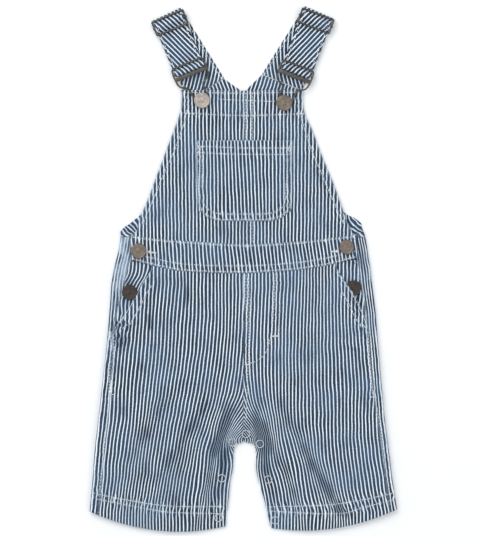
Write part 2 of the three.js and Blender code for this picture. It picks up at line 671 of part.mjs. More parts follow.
function strap(side) {
  const { seam, fold } = STRAPS[side];
  const { start, axis, length } = strapFrame(side);
  const frontLean = Math.atan2(axis.x, -axis.y);
  const stations = [];
  const seamPoint = new THREE.Vector2(seam.x, seam.y);
  const backAxis = start.clone().sub(seamPoint).normalize();
  seamPoint.addScaledVector(backAxis, SEAM_GAP);
  for (let k = 0; k < 7; k += 1) {
    const t = k / 7.4;
    stations.push({
      centre: seamPoint.clone().lerp(start, t),
      lean: degToRad(lerp(seam.lean, fold.lean, t)),
      half: lerp(seam.half, STRAP_HALF_WIDTH, t),
      z: BACK_STRAP_LEVEL,
      run: backAxis.clone().negate(),
      });
  }
  const line = strapRun(length);
  line.forEach(([distance, z], k) => {
    const settle = smoothstep(k, 5, 12);
    stations.push({
      centre: start.clone().addScaledVector(axis, distance),
      lean: lerp(degToRad(fold.lean), frontLean, settle),
      half: STRAP_HALF_WIDTH,
      z,
      run: axis,
    });
  });
  const acrossSteps = 2;
  const rows = stations.map((s) => {
    const direction = new THREE.Vector2(Math.cos(s.lean), Math.sin(s.lean));
    return Array.from({ length: acrossSteps + 1 }, (_, i) => {
      const offset = lerp(-s.half, s.half, i / acrossSteps);
      const p = s.centre.clone().addScaledVector(direction, offset);
      return new THREE.Vector3(p.x, p.y, s.z);
    });
  });
  add(`strap_${side}`, wall(rows), CLOTH_FINISH);
}

function solid(geometry) {
  const bare = geometry.clone();
  for (const name of ['normal', 'uv']) bare.deleteAttribute(name);
  const merged = mergeVertices(bare, 1e-4);
  const mesh = new wasm.Mesh({
    numProp: 3,
    vertProperties: new Float32Array(merged.attributes.position.array),
    triVerts: new Uint32Array(merged.index.array),
  });
  return new wasm.Manifold(mesh);
}

function joined(geometries) {
  const [first, ...rest] = geometries.map(solid);
  const result = rest.reduce((whole, piece) => whole.add(piece), first).getMesh();
  return outward(Array.from(result.vertProperties), Array.from(result.triVerts));
}

function wireLoop(points, steps, sides = 6) {
  const curve = new THREE.CatmullRomCurve3(points, true, 'centripetal');
  return new THREE.TubeGeometry(curve, steps, WIRE_RADIUS, sides, true);
}

function crossBar(from, to, sides = 6) {
  const bar = new THREE.CylinderGeometry(WIRE_RADIUS, WIRE_RADIUS, from.distanceTo(to), sides);
  const turn = new THREE.Quaternion().setFromUnitVectors(
    new THREE.Vector3(0, 1, 0),
    to.clone().sub(from).normalize(),
  );
  bar.applyQuaternion(turn);
  bar.translate(...from.clone().add(to).multiplyScalar(0.5));
  return bar;
}

// Slider: a wire frame with a middle bar whose ends stand proud, in its own frame
function slider(side) {
  const halfWidth = STRAP_HALF_WIDTH + 1.2;
  const corner = 1.6;
  const level = (v) => lerp(SLIDER_LEVELS.bottom, SLIDER_LEVELS.top, (v / SLIDER_PITCH + 1) / 2);
  const points = [];
  for (const [sx, sy] of [[1, -1], [1, 1], [-1, 1], [-1, -1]]) {
    const cuts = sx * sy > 0 ? [[0, corner], [corner, 0]] : [[corner, 0], [0, corner]];
    for (const [cx, cy] of cuts) {
      const v = sy * (SLIDER_PITCH - cy);
      points.push(new THREE.Vector3(sx * (halfWidth - cx), v, level(v)));
    }
  }
  const end = halfWidth + 1.5;
  const bar = crossBar(
    new THREE.Vector3(-end, 0, SLIDER_LEVELS.middle),
    new THREE.Vector3(end, 0, SLIDER_LEVELS.middle),
  );
  const mesh = add(`slider_${side}`, joined([wireLoop(points, 40), bar]), METAL_FINISH);
  const { start, axis } = strapFrame(side);
  const centre = start.clone().addScaledVector(axis, SLIDER_MIDDLE);
  mesh.position.set(centre.x, centre.y, 0);
  mesh.rotation.z = Math.atan2(axis.x, -axis.y);
}

// Buckle: a wire loop that closes in below its plate to catch the button's stem
function buckle(side) {
  const { button } = STRAPS[side];
  const { axis } = strapFrame(side);
  const seat = frontHeight(button.x, button.y) + HALF + SEAM_GAP + WIRE_RADIUS + 0.25;
  const level = (v) => lerp(seat, BUCKLE_LEVEL, smoothstep(v, 8, 27));
  const right = BUCKLE_OUTLINE.map(({ half, along: v }) => new THREE.Vector3(half, v, level(v)));
  const left = BUCKLE_OUTLINE.slice(1, -1)
    .reverse()
    .map(({ half, along: v }) => new THREE.Vector3(-half, v, level(v)));
  const half = STRAP_HALF_WIDTH + 1.8;
  const bar = crossBar(
    new THREE.Vector3(-half, BUCKLE_WRAP_BAR, BUCKLE_LEVEL),
    new THREE.Vector3(half, BUCKLE_WRAP_BAR, BUCKLE_LEVEL),
  );
  const plate = new THREE.BoxGeometry(2 * half + 0.6, PLATE_HEIGHT, PLATE_THICK);
  plate.translate(0, BUCKLE_PLATE, BUCKLE_LEVEL);
  const pieces = [wireLoop([...right, ...left], 64), bar, plate];
  const mesh = add(`buckle_${side}`, joined(pieces), METAL_FINISH);
  mesh.position.set(button.x, button.y, 0);
  mesh.rotation.z = Math.atan2(axis.x, -axis.y);
}

// Button: a stem on the cloth and a slightly domed cap with a rim
function button(name, { x, y, radius = BUTTON_RADIUS }, { foot, stem, cap = BUTTON_CAP }, finish) {
  const top = foot + stem + cap;
  const profile = [
    [0, foot],
    [STEM_RADIUS, foot],
    [STEM_RADIUS, foot + stem],
    [radius - 0.7, foot + stem],
    [radius, foot + stem + 0.8],
    [radius, top - 0.9],
    [radius - 0.7, top - 0.2],
    [radius - 1.5, top - 0.45],
    [0, top],
  ].map(([r, z]) => new THREE.Vector2(r, z));
  const mesh = add(name, new THREE.LatheGeometry(profile, BUTTON_SIDES), finish);
  mesh.geometry.rotateX(Math.PI / 2);
  mesh.position.set(x, y, 0);
}

// Highest point of a cloth's upper face under a round piece
function restingLevel(height, { x, y }, radius) {
  let highest = height(x, y);
  for (let k = 0; k < 12; k += 1) {
    const angle = (k / 12) * 2 * Math.PI;
    highest = Math.max(highest, height(x + radius * Math.cos(angle), y + radius * Math.sin(angle)));
  }
  return highest + HALF + SEAM_GAP;
}

function buttons() {
  for (const side of Object.keys(SIDES)) {
    const bib = STRAPS[side].button;
    const bibFoot = restingLevel(frontHeight, bib, STEM_RADIUS);
    const finish = side === 'right' ? BIB_BUTTON_FINISH : BUTTON_FINISH;
    const catchHeight = 2 * (WIRE_RADIUS + SEAM_GAP);
    button(`bib_button_${side}`, bib, { foot: bibFoot, stem: catchHeight }, finish);
    const waist = WAIST_BUTTONS[side];
    const waistFoot = restingLevel(bandHeight, waist, STEM_RADIUS);
    button(`waist_button_${side}`, waist, { foot: waistFoot, stem: 0.9 }, BUTTON_FINISH);
    const lower = SIDE_BUTTONS[side];
    const lowerFoot = restingLevel(facingHeight, lower, STEM_RADIUS);
    const lowerSizes = { foot: lowerFoot, stem: 0.7, cap: SIDE_BUTTON_CAP };
    button(`side_button_${side}`, lower, lowerSizes, METAL_FINISH);
  }
}

function snaps() {
  const half = 0.35;
  for (const { name, x, y } of SNAPS) {
    const profile = [
      [SNAP_RADIUS - 1.4, -half],
      [SNAP_RADIUS, -half],
      [SNAP_RADIUS, 0],
      [SNAP_RADIUS - 0.7, half],
      [SNAP_RADIUS - 1.4, 0],
      [SNAP_RADIUS - 1.4, -half],
    ].map(([r, z]) => new THREE.Vector2(r, z));
    const mesh = add(name, new THREE.LatheGeometry(profile, SNAP_SIDES), SNAP_FINISH);
    mesh.geometry.rotateX(Math.PI / 2);
    mesh.position.set(x, y, restingLevel(frontHeight, { x, y }, SNAP_RADIUS) + half);
  }
}

backBib();
for (const side of Object.keys(SIDES)) {
  backLeg(side);
  pocketFacing(side);
  frontLeg(side);
  bibPanel(side);
  strap(side);
  slider(side);
  buckle(side);
}
waistband();
bibPocket();
buttons();
snaps();

// The origin is at the middle of the part's box, on the surface that it lies on
group.updateMatrixWorld(true);
const box = new THREE.Box3().setFromObject(group, true);
const middle = box.getCenter(new THREE.Vector3());
group.position.set(-middle.x, -middle.y, -box.min.z);

export default group;
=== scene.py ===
import math

import bmesh
import bpy
import numpy as np
from mathutils import Matrix, Vector


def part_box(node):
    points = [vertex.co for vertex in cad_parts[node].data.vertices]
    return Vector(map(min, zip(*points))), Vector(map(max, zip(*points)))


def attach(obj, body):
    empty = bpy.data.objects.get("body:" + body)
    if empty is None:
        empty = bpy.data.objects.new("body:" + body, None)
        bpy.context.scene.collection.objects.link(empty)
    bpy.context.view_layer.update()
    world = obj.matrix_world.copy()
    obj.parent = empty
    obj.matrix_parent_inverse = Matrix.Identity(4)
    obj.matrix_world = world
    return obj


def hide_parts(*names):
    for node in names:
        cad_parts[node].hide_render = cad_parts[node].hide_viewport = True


bl_info = {
    "name": "Kids bib overalls",
    "version": (1, 0, 0),
    "blender": (4, 5, 0),
    "location": "View3D > Sidebar > Overalls",
    "description": "Child's short bib overalls in hickory stripe, laid flat",
    "category": "Add Mesh",
}

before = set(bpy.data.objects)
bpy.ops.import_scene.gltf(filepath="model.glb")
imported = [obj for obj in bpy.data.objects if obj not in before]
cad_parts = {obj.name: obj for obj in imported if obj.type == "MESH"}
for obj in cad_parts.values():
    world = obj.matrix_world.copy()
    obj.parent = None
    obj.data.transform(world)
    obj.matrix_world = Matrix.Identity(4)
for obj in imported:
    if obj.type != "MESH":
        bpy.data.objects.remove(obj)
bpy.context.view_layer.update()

# Plan tables are in millimetres from the centre line (x) and the middle of the length (y).
MM = 0.001
# What the camera sees of the floor, from the top to the bottom of its picture, in metres
VIEW_HEIGHT = 0.536
SENSOR_WIDTH = 36.0
SIGNS = {"right": -1.0, "left": 1.0}
BUTTON_PLACE = {"right": (-41.5, 168.5), "left": (40.7, 166.0)}

# Outer folds of the body at each height: right, left
OUTER_FOLD = [
    (60, 122.5, 119.0),
    (39, 122.5, 119.5),
    (31, 122.7, 121.5),
    (19, 124.5, 123.5),
    (3, 128.5, 125.9),
    (-13, 131.5, 127.8),
    (-41, 133.5, 131.4),
    (-77, 136.5, 134.2),
    (-113, 140.5, 137.3),
    (-149, 144.5, 140.6),
    (-181, 148.3, 144.8),
    (-213, 150.7, 148.8),
    (-243, 153.5, 153.5),
]
FOLD_RADIUS = [(40, 1.1), (20, 1.4), (-50, 1.5), (-80, 2.2), (-245, 2.2)]

# Side seams and the edges of the side openings above them: right, left
SIDE_SEAM = [
    (33, 112.5, 113.5),
    (10, 113.5, 114.5),
    (-16, 120.5, 118.5),
    (-41, 126.5, 122.5),
    (-62, 130.5, 125.0),
    (-95, 131.5, 127.5),
    (-126, 133.0, 130.5),
    (-171, 137.5, 137.5),
    (-227, 143.5, 144.5),
    (-247, 145.5, 146.5),
]
POCKET_SLANT = [
    (8, 91.0, 90.0),
    (-1, 92.5, 94.0),
    (-14, 100.5, 102.2),
    (-27, 107.0, 111.5),
    (-43, 117.0, 119.5),
    (-60, 130.0, 125.0),
]

# Rows of the legs: inner edge, then the height at the inner end, the middle and the fold
LEG_ROWS = {
    "right": [
        (0.0, -4.2, -2.8, 11.0),
        (0.0, -24.0, -23.0, -13.0),
        (0.0, -46.0, -45.0, -39.0),
        (0.0, -71.0, -69.0, -64.0),
        (0.0, -103.0, -99.0, -95.0),
        (0.0, -133.0, -128.0, -124.0),
        (0.0, -155.0, -151.0, -147.0),
        (0.0, -171.4, -168.5, -165.0),
        (8.2, -175.6, -179.5, -178.0),
        (10.2, -186.0, -192.0, -190.0),
        (10.9, -199.0, -204.0, -200.0),
        (13.6, -214.0, -218.0, -214.0),
        (15.4, -232.0, -235.0, -227.0),
        (18.5, -257.5, -261.5, -242.5),
    ],
    "left": [
        (0.0, -4.2, -0.8, 14.0),
        (0.0, -24.0, -21.0, -11.0),
        (0.0, -46.0, -43.0, -36.0),
        (0.0, -71.0, -68.0, -59.0),
        (0.0, -103.0, -98.0, -92.0),
        (0.0, -133.0, -128.0, -123.0),
        (0.0, -155.0, -151.0, -147.0),
        (0.0, -171.4, -168.5, -165.0),
        (10.2, -175.0, -179.5, -178.0),
        (12.6, -187.0, -192.0, -190.0),
        (13.0, -201.0, -205.0, -201.0),
        (15.8, -214.0, -218.0, -214.0),
        (20.5, -230.0, -235.0, -228.0),
        (27.5, -259.0, -259.5, -240.5),
    ],
}
BACK_WAIST = (0.0, 32.1, 32.1, 31.8)

# Front bib rows: right edge, left edge, height at the side and at the centre seam
BIB_ROWS = [
    (62.0, 60.0, 179.0, 178.0),
    (61.5, 59.0, 171.0, 170.0),
    (63.5, 61.0, 156.0, 154.0),
    (69.5, 68.5, 139.0, 137.0),
    (78.5, 77.5, 115.0, 112.0),
    (87.5, 87.5, 91.0, 87.0),
    (96.5, 96.5, 67.0, 61.0),
    (103.2, 101.5, 52.0, 45.0),
    (105.5, 106.0, 42.0, 34.0),
    (110.0, 110.0, 33.3, 25.0),
]
# Waistband: top and bottom edge at each x
WAISTBAND = [
    (-112.5, 33.5, 9.5),
    (-86.0, 30.0, 2.6),
    (-59.5, 28.0, -2.2),
    (0.0, 24.7, -4.0),
    (51.5, 27.0, -1.0),
    (82.0, 30.2, 3.6),
    (113.5, 34.2, 11.3),
]
# Bib pocket: right and left edge at each height
POCKET_ROWS = [
    (128.5, 48.0, 49.5),
    (112.0, 47.7, 48.8),
    (64.0, 45.5, 48.2),
    (57.0, 42.0, 44.5),
    (52.0, 36.0, 38.5),
    (49.3, 28.0, 31.0),
    (48.3, 20.0, 23.0),
]
# Back bib: reach on each side, and whether the end lies on the floor (0), in the fold (1)
# or on the front (2)
BACK_BIB_ROWS = [
    (32.4, 110.0, 2, 109.5, 2),
    (36.0, 115.5, 2, 113.5, 2),
    (38.5, 122.0, 1, 119.0, 1),
    (42.0, 119.0, 0, 118.5, 0),
    (46.0, 113.0, 0, 117.5, 0),
    (51.0, 107.0, 0, 111.0, 0),
    (56.0, 101.0, 0, 101.5, 0),
    (67.0, 91.5, 0, 93.5, 0),
    (84.0, 80.5, 0, 81.5, 0),
    (109.0, 71.5, 0, 69.5, 0),
    (139.0, 62.5, 0, 60.5, 0),
    (159.0, 57.5, 0, 58.5, 0),
    (177.0, 55.5, 0, 58.5, 0),
]
NECK_START, NECK_BASE = 139.0, 177.0
NECKLINE = [(-55.5, 169.1), (-19.5, 190.7), (0.0, 177.0), (18.5, 194.7), (58.5, 178.7)]
BIB_TAIL = 20.0

# Straps: back seam (x, y, half-width, lean), shoulder fold (x, y, lean), button
STRAPS = {
    "right": {"seam": (-37.5, 180.2, 21.0, 31.0), "fold": (-77.0, 254.5, 25.0)},
    "left": {"seam": (38.5, 187.0, 21.5, -21.8), "fold": (75.5, 256.5, -23.4)},
}
STRAP_HALF = 15.5
SLIDER_TOP, SLIDER_PITCH = 1.8, 7.2
SLIDER_MIDDLE = SLIDER_TOP + SLIDER_PITCH
SLIDER_BOTTOM = SLIDER_MIDDLE + SLIDER_PITCH
SLIDER_LEVEL = (5.4, 5.1, 4.8)
SHOULDER_LEVEL, RETURN_LEVEL, STRAP_LEVEL = 3.0, 2.1, 3.6
BUCKLE_LEVEL = 5.4
BUCKLE_TOP, BUCKLE_WRAP, BUCKLE_PLATE = 40.0, 33.6, 28.5
WIRE_CLEAR = 1.8
# Buckle outline from its button: half-width at each distance up the strap
BUCKLE_OUTLINE = [
    (0.0, -6.2),
    (4.6, -4.0),
    (6.2, 2.0),
    (7.2, 9.0),
    (7.2, 16.4),
    (12.0, 18.0),
    (16.0, 21.0),
    (17.2, 28.5),
    (16.9, 38.2),
    (15.1, 40.0),
    (0.0, 40.0),
]
WAIST_BUTTONS = {"right": (-104.7, 18.1, 7.8), "left": (103.0, 21.9, 7.3)}
SIDE_BUTTONS = {"right": (-113.9, -23.2, 7.6), "left": (110.1, -19.0, 7.6)}
SNAPS = {
    "snap_crotch": (2.4, -165.0),
    "snap_right_top": (-11.0, -173.5),
    "snap_left_top": (16.5, -174.9),
    "snap_right_middle": (-21.7, -209.3),
    "snap_left_middle": (24.8, -210.6),
    "snap_right_hem": (-25.1, -249.0),
    "snap_left_hem": (31.7, -251.5),
}

# Largest soft folds: x1, y1, x2, y2, half-width, rise
FOLDS = [
    (30, -128, 90, -244, 15, 1.3),
    (-46, -120, -78, -244, 16, 0.9),
    (12, -128, 32, -205, 7, 1.0),
    (-12, -128, -28, -205, 7, 1.0),
    (-96, -26, -99, -66, 6, 0.9),
    (84, -12, 92, -70, 9, 0.7),
    (-46, 150, -66, 80, 9, 0.6),
    (46, 150, 68, 80, 9, 0.6),
    (20, -15, 24, -60, 7, 0.5),
]

# Finer creases of the front: x1, y1, x2, y2, half-width, rise
CREASES = [
    (-55, -16, -58, -40, 3.5, -0.45),
    (-50, -14, -52, -34, 3.0, 0.35),
    (-94, -38, -91, -60, 2.6, -0.5),
    (-88, -30, -86, -58, 3.0, 0.3),
    (-80, -56, -74, -82, 5.0, -0.35),
    (-104, -94, -92, -112, 4.5, -0.3),
    (-70, -118, -112, -188, 7.0, -0.55),
    (-84, -112, -124, -176, 6.0, 0.4),
    (-34, -130, -88, -214, 6.5, -0.5),
    (-24, -142, -46, -196, 3.6, 0.5),
    (-19, -150, -33, -200, 2.6, -0.6),
    (-14, -158, -26, -192, 2.4, 0.4),
    (-30, -168, -38, -232, 3.6, -0.45),
    (-44, -196, -50, -240, 4.0, 0.35),
    (-62, -190, -70, -240, 4.5, -0.3),
    (-98, -196, -106, -232, 5.0, -0.25),
    (-126, -150, -128, -180, 4.0, 0.3),
    (-118, -128, -121, -148, 2.6, -0.35),
    (98, -76, 116, -82, 2.4, -0.5),
    (92, -72, 112, -75, 2.8, 0.3),
    (112, -84, 121, -104, 3.0, -0.3),
    (32, -126, 62, -180, 4.0, -0.6),
    (60, -178, 98, -244, 4.5, -0.85),
    (70, -176, 108, -240, 5.0, 0.5),
    (24, -140, 44, -190, 3.0, 0.45),
    (20, -150, 34, -196, 2.6, -0.6),
    (16, -158, 27, -194, 2.2, 0.4),
    (36, -186, 54, -234, 3.6, -0.55),
    (46, -190, 66, -236, 4.0, 0.35),
    (30, -214, 36, -240, 2.4, 0.3),
    (112, -130, 124, -188, 5.0, 0.35),
    (120, -126, 127, -150, 2.8, -0.4),
    (60, -60, 66, -110, 6.0, -0.3),
    (44, -20, 42, -50, 3.0, 0.25),
    (72, -10, 76, -34, 3.2, -0.35),
    (-20, -14, -20, -44, 3.4, 0.3),
    (-30, -12, -32, -30, 2.6, -0.3),
    (-12, -100, -16, -128, 3.0, 0.3),
    (10, -104, 16, -130, 3.0, -0.35),
    (-70, 76, -90, 44, 4.0, -0.3),
    (-58, 120, -64, 90, 3.6, -0.3),
    (70, 110, 84, 74, 4.0, -0.3),
    (58, 66, 60, 40, 4.0, 0.3),
    (-20, 44, -22, 30, 4.0, -0.25),
    (22, 46, 24, 30, 4.0, 0.25),
    (-26, 164, -24, 136, 4.0, -0.25),
    (28, 162, 26, 134, 4.0, -0.25),
    (-95, -46, -94, -60, 1.9, -0.7),
    (-18, -152, -27, -176, 3.0, -1.0),
    (-15, -176, -19, -198, 2.4, -0.6),
    (14, -156, 21, -180, 3.0, -1.0),
    (19, -182, 23, -204, 2.6, -0.7),
    (-7, -152, -15, -172, 1.8, 0.4),
    (8, -152, 14, -170, 1.8, 0.4),
    (-128, -60, -119, -54, 1.9, -0.7),
    (-127, -68, -117, -60, 2.0, 0.45),
    (-126, -77, -116, -68, 2.1, -0.6),
    (-125, -88, -119, -80, 2.2, -0.35),
    (118, -62, 124, -70, 1.9, -0.5),
    (116, -70, 123, -80, 2.1, 0.35),
    (-100, -20, -92, -8, 2.2, -0.4),
    (-84, -8, -88, -26, 2.6, -0.35),
    (-66, -10, -69, -22, 2.2, -0.3),
    (40, -8, 38, -24, 2.4, -0.3),
    (84, -6, 88, -22, 2.6, -0.3),
    (-112, -226, -114, -240, 2.2, -0.35),
    (-96, -230, -98, -244, 2.4, 0.3),
    (-60, -234, -62, -248, 2.4, -0.3),
    (-30, -232, -28, -252, 2.2, -0.4),
    (62, -234, 66, -246, 2.2, -0.35),
    (96, -236, 102, -247, 2.4, -0.8),
    (112, -232, 116, -246, 2.4, -0.35),
    (36, -238, 40, -254, 2.2, -0.35),
]
# Gathers painted darker as shade, where the folds shadow the cloth: x1, y1, x2, y2, half-width, depth
GATHER_SHADOWS = [
    (-14, -142, -25, -178, 5.0, -0.8),
    (-23, -178, -21, -206, 4.5, -0.6),
    (11, -146, 21, -178, 5.5, -0.9),
    (21, -178, 23, -206, 5.0, -0.65),
    (-24, -206, -28, -236, 4.5, -0.25),
    (26, -206, 34, -236, 4.5, -0.25),
    (-128, -60, -119, -80, 5.5, -0.35),
    (-95, -46, -94, -60, 1.7, -0.5),
    (-56, -16, -57, -36, 3.0, -0.3),
    (-113, -12, -120, -34, 5.0, -0.3),
    (108, -26, 118, -44, 4.0, -0.35),
    (116, 20, 121, -6, 3.0, -0.35),
    (3, -166, 3, -171, 5.0, -0.3),
]
# Spots that tacks and corners pull tight: x, y, half-width, strength
PUCKERS = [
    (-127, -66, 11, 1.7),
    (-119, -52, 8, 1.1),
    (-120, 37, 7, 0.9),
    (-122, 16, 8, 0.6),
    (-103, 6, 7, 0.4),
    (118, 36, 6, 0.7),
    (113, 6, 7, 0.6),
    (120, -62, 8, 0.7),
    (112, -46, 7, 0.5),
    (-148, -228, 8, 0.8),
    (-128, -232, 7, 0.6),
    (-100, -236, 7, 0.4),
    (-22, -241, 8, 0.5),
    (29, -240, 8, 0.4),
    (60, -240, 8, 0.3),
    (97, -242, 10, 1.0),
    (116, -236, 8, 0.6),
    (146, -228, 8, 0.8),
    (-132, -126, 6, 0.6),
    (130, -129, 6, 0.6),
    (3, -97, 6, 0.4),
    (3, -168, 8, 0.7),
    (-16, -176, 6, 0.6),
    (18, -174, 7, 0.8),
    (-42, 60, 6, 0.4),
    (42, 60, 6, 0.4),
    (-45, 120, 5, 0.4),
    (46, 120, 5, 0.4),
    (-66, 172, 6, 0.4),
]
# Creases of the back, which lies on the floor
BACK_CREASES = [
    (-30, -20, -34, -70, 5.0, 0.35),
    (46, -16, 40, -60, 6.0, 0.3),
    (-60, -110, -96, -200, 8.0, 0.45),
    (40, -120, 86, -210, 8.0, 0.4),
    (-16, -140, -34, -190, 4.0, 0.5),
    (18, -142, 36, -192, 4.0, 0.5),
    (-90, 10, -60, 26, 4.0, 0.3),
    (70, 12, 100, 4, 4.0, 0.3),
    (-40, 60, -46, 120, 6.0, 0.35),
    (36, 56, 44, 110, 6.0, 0.3),
    (0, 100, 4, 150, 5.0, 0.3),
]

# Sewn rows: the piece that they lie on, their points, and the strength of the puckers
ROWS = {
    "bib": [
        ([(-60, 176.6), (-30, 176.2), (0, 175.8), (30, 176.2), (57, 176.8)], 0.16),
        ([(-27, 170.2), (0, 168.5), (32, 167.6)], 0.08),
        ([(-63.5, 156.2), (-30, 154.4), (0, 153.4), (30, 154.2), (61, 155.4)], 0.2),
        ([(-56, 172), (-56.5, 158), (-68.5, 120), (-79.5, 96), (-87.5, 76), (-101, 44)], 0.22),
        ([(54, 172), (56, 158), (68.5, 118), (78, 96), (91.5, 64), (101, 44)], 0.22),
        ([(1.7, 177), (1.8, 129), (3.3, 49), (3.4, 26)], 0.1),
        ([(8.9, 177), (8.9, 129), (9.5, 49), (9.6, 26)], 0.1),
    ],
    "pocket": [
        (
            [
                (-46.5, 127),
                (-46.2, 112),
                (-44.2, 65),
                (-40.6, 57.6),
                (-35, 53),
                (-24.5, 49.8),
                (0, 49.6),
                (24.5, 49.8),
                (37.0, 53),
                (43.0, 57.8),
                (46.7, 65),
                (47.4, 112),
                (48.0, 127),
            ],
            0.2,
        ),
        (
            [
                (-41.5, 114),
                (-40.5, 70),
                (-38.6, 63.4),
                (-33.5, 58.2),
                (-24.5, 55.4),
                (0, 55),
                (24.5, 55.4),
                (35.5, 59),
                (40.4, 64),
                (42, 70),
                (43.9, 114),
            ],
            0.2,
        ),
        ([(-47, 122.8), (0, 121), (48.6, 121)], 0.18),
        ([(-47, 116.4), (0, 114.6), (48.4, 114.4)], 0.18),
    ],
    "right": [
        ([(-92.5, -17), (-99, -28.5), (-106, -42), (-113.5, -56)], 0.2),
        ([(-93.6, -4), (-101.6, -16), (-108, -28.6), (-117, -43.5), (-129, -60)], 0.12),
        ([(-129.4, -64), (-130.2, -95), (-131.6, -124)], 0.16),
        ([(-151.0, -223.6), (-123.5, -229.7), (-76.9, -236.7), (-20.5, -237.7)], 0.34),
        ([(-147.5, -229.7), (-117.5, -235.7), (-76.9, -242.8), (-18.5, -244.8)], 0.34),
    ],
    "left": [
        ([(2.5, -5), (2.5, -60), (2.5, -97)], 0.1),
        ([(5.5, -5), (5.5, -60), (4.6, -97), (2.6, -150)], 0.1),
        ([(31.8, -4), (30.4, -36), (28.5, -66)], 0.12),
        ([(37.5, -4), (36.4, -36), (34.5, -66)], 0.12),
        ([(27.5, -67), (22.5, -83), (14.5, -91), (3.5, -95.5)], 0.08),
        ([(98.1, -22.5), (106.5, -37), (112.5, -50), (117.5, -57)], 0.18),
        ([(93, -3), (101, -14.4), (110, -27.6), (118, -43), (123.4, -58)], 0.12),
        ([(124.2, -62), (126.4, -95), (129.4, -126)], 0.16),
        ([(26.5, -238), (85.5, -235.7), (117.5, -231), (149.5, -224)], 0.34),
        ([(26.5, -242.3), (97.5, -244.4), (121.5, -238), (150.5, -230.5)], 0.34),
    ],
    "side_right": [
        ([(-133.6, -128), (-138.4, -171), (-144.4, -222)], 0.14),
        ([(-132.6, -66), (-133.4, -95), (-134.6, -124)], 0.14),
    ],
    "side_left": [
        ([(131.6, -128), (138.6, -171), (145.4, -222)], 0.14),
        ([(126.6, -64), (128.6, -95), (131.4, -124)], 0.14),
    ],
}
# Rows that follow the waistband, as distances below its top edge or above its bottom edge
BAND_ROWS = [("top", 1.6, 0.32), ("bottom", 1.4, 0.3), ("bottom", 7.2, 0.22)]

# Bar tacks: the piece, the middle, the length and the direction of each in degrees
TACKS = [
    ("band", -91.4, 16.6, 8.6, -10, 2.0),
    ("band", 91.0, 17.6, 8.4, 4, 2.0),
    ("band", -93.6, 17.2, 1.8, -10, 4.4),
    ("band", 93.6, 17.8, 1.8, 4, 4.0),
    ("left", 31.4, -66.8, 7.0, 2, 1.2),
    ("left", 31.6, -67.6, 7.0, 2, 0.9),
    ("left", 3.6, -95.5, 5.0, 0, 1.1),
    ("right", -131.4, -125.4, 6.0, 4, 1.2),
    ("left", 130.0, -128.0, 6.0, -4, 1.2),
    ("pocket", -44.6, 121.6, 7.0, -58, 1.1),
    ("pocket", -44.0, 119.4, 8.0, 60, 1.0),
    ("pocket", 45.4, 121.4, 8.0, 62, 1.1),
    ("pocket", 44.6, 119.0, 7.0, -48, 1.0),
    ("right", -118.6, -57.6, 6.0, 40, 1.1),
    ("left", 120.6, -57.0, 6.0, -50, 1.1),
]

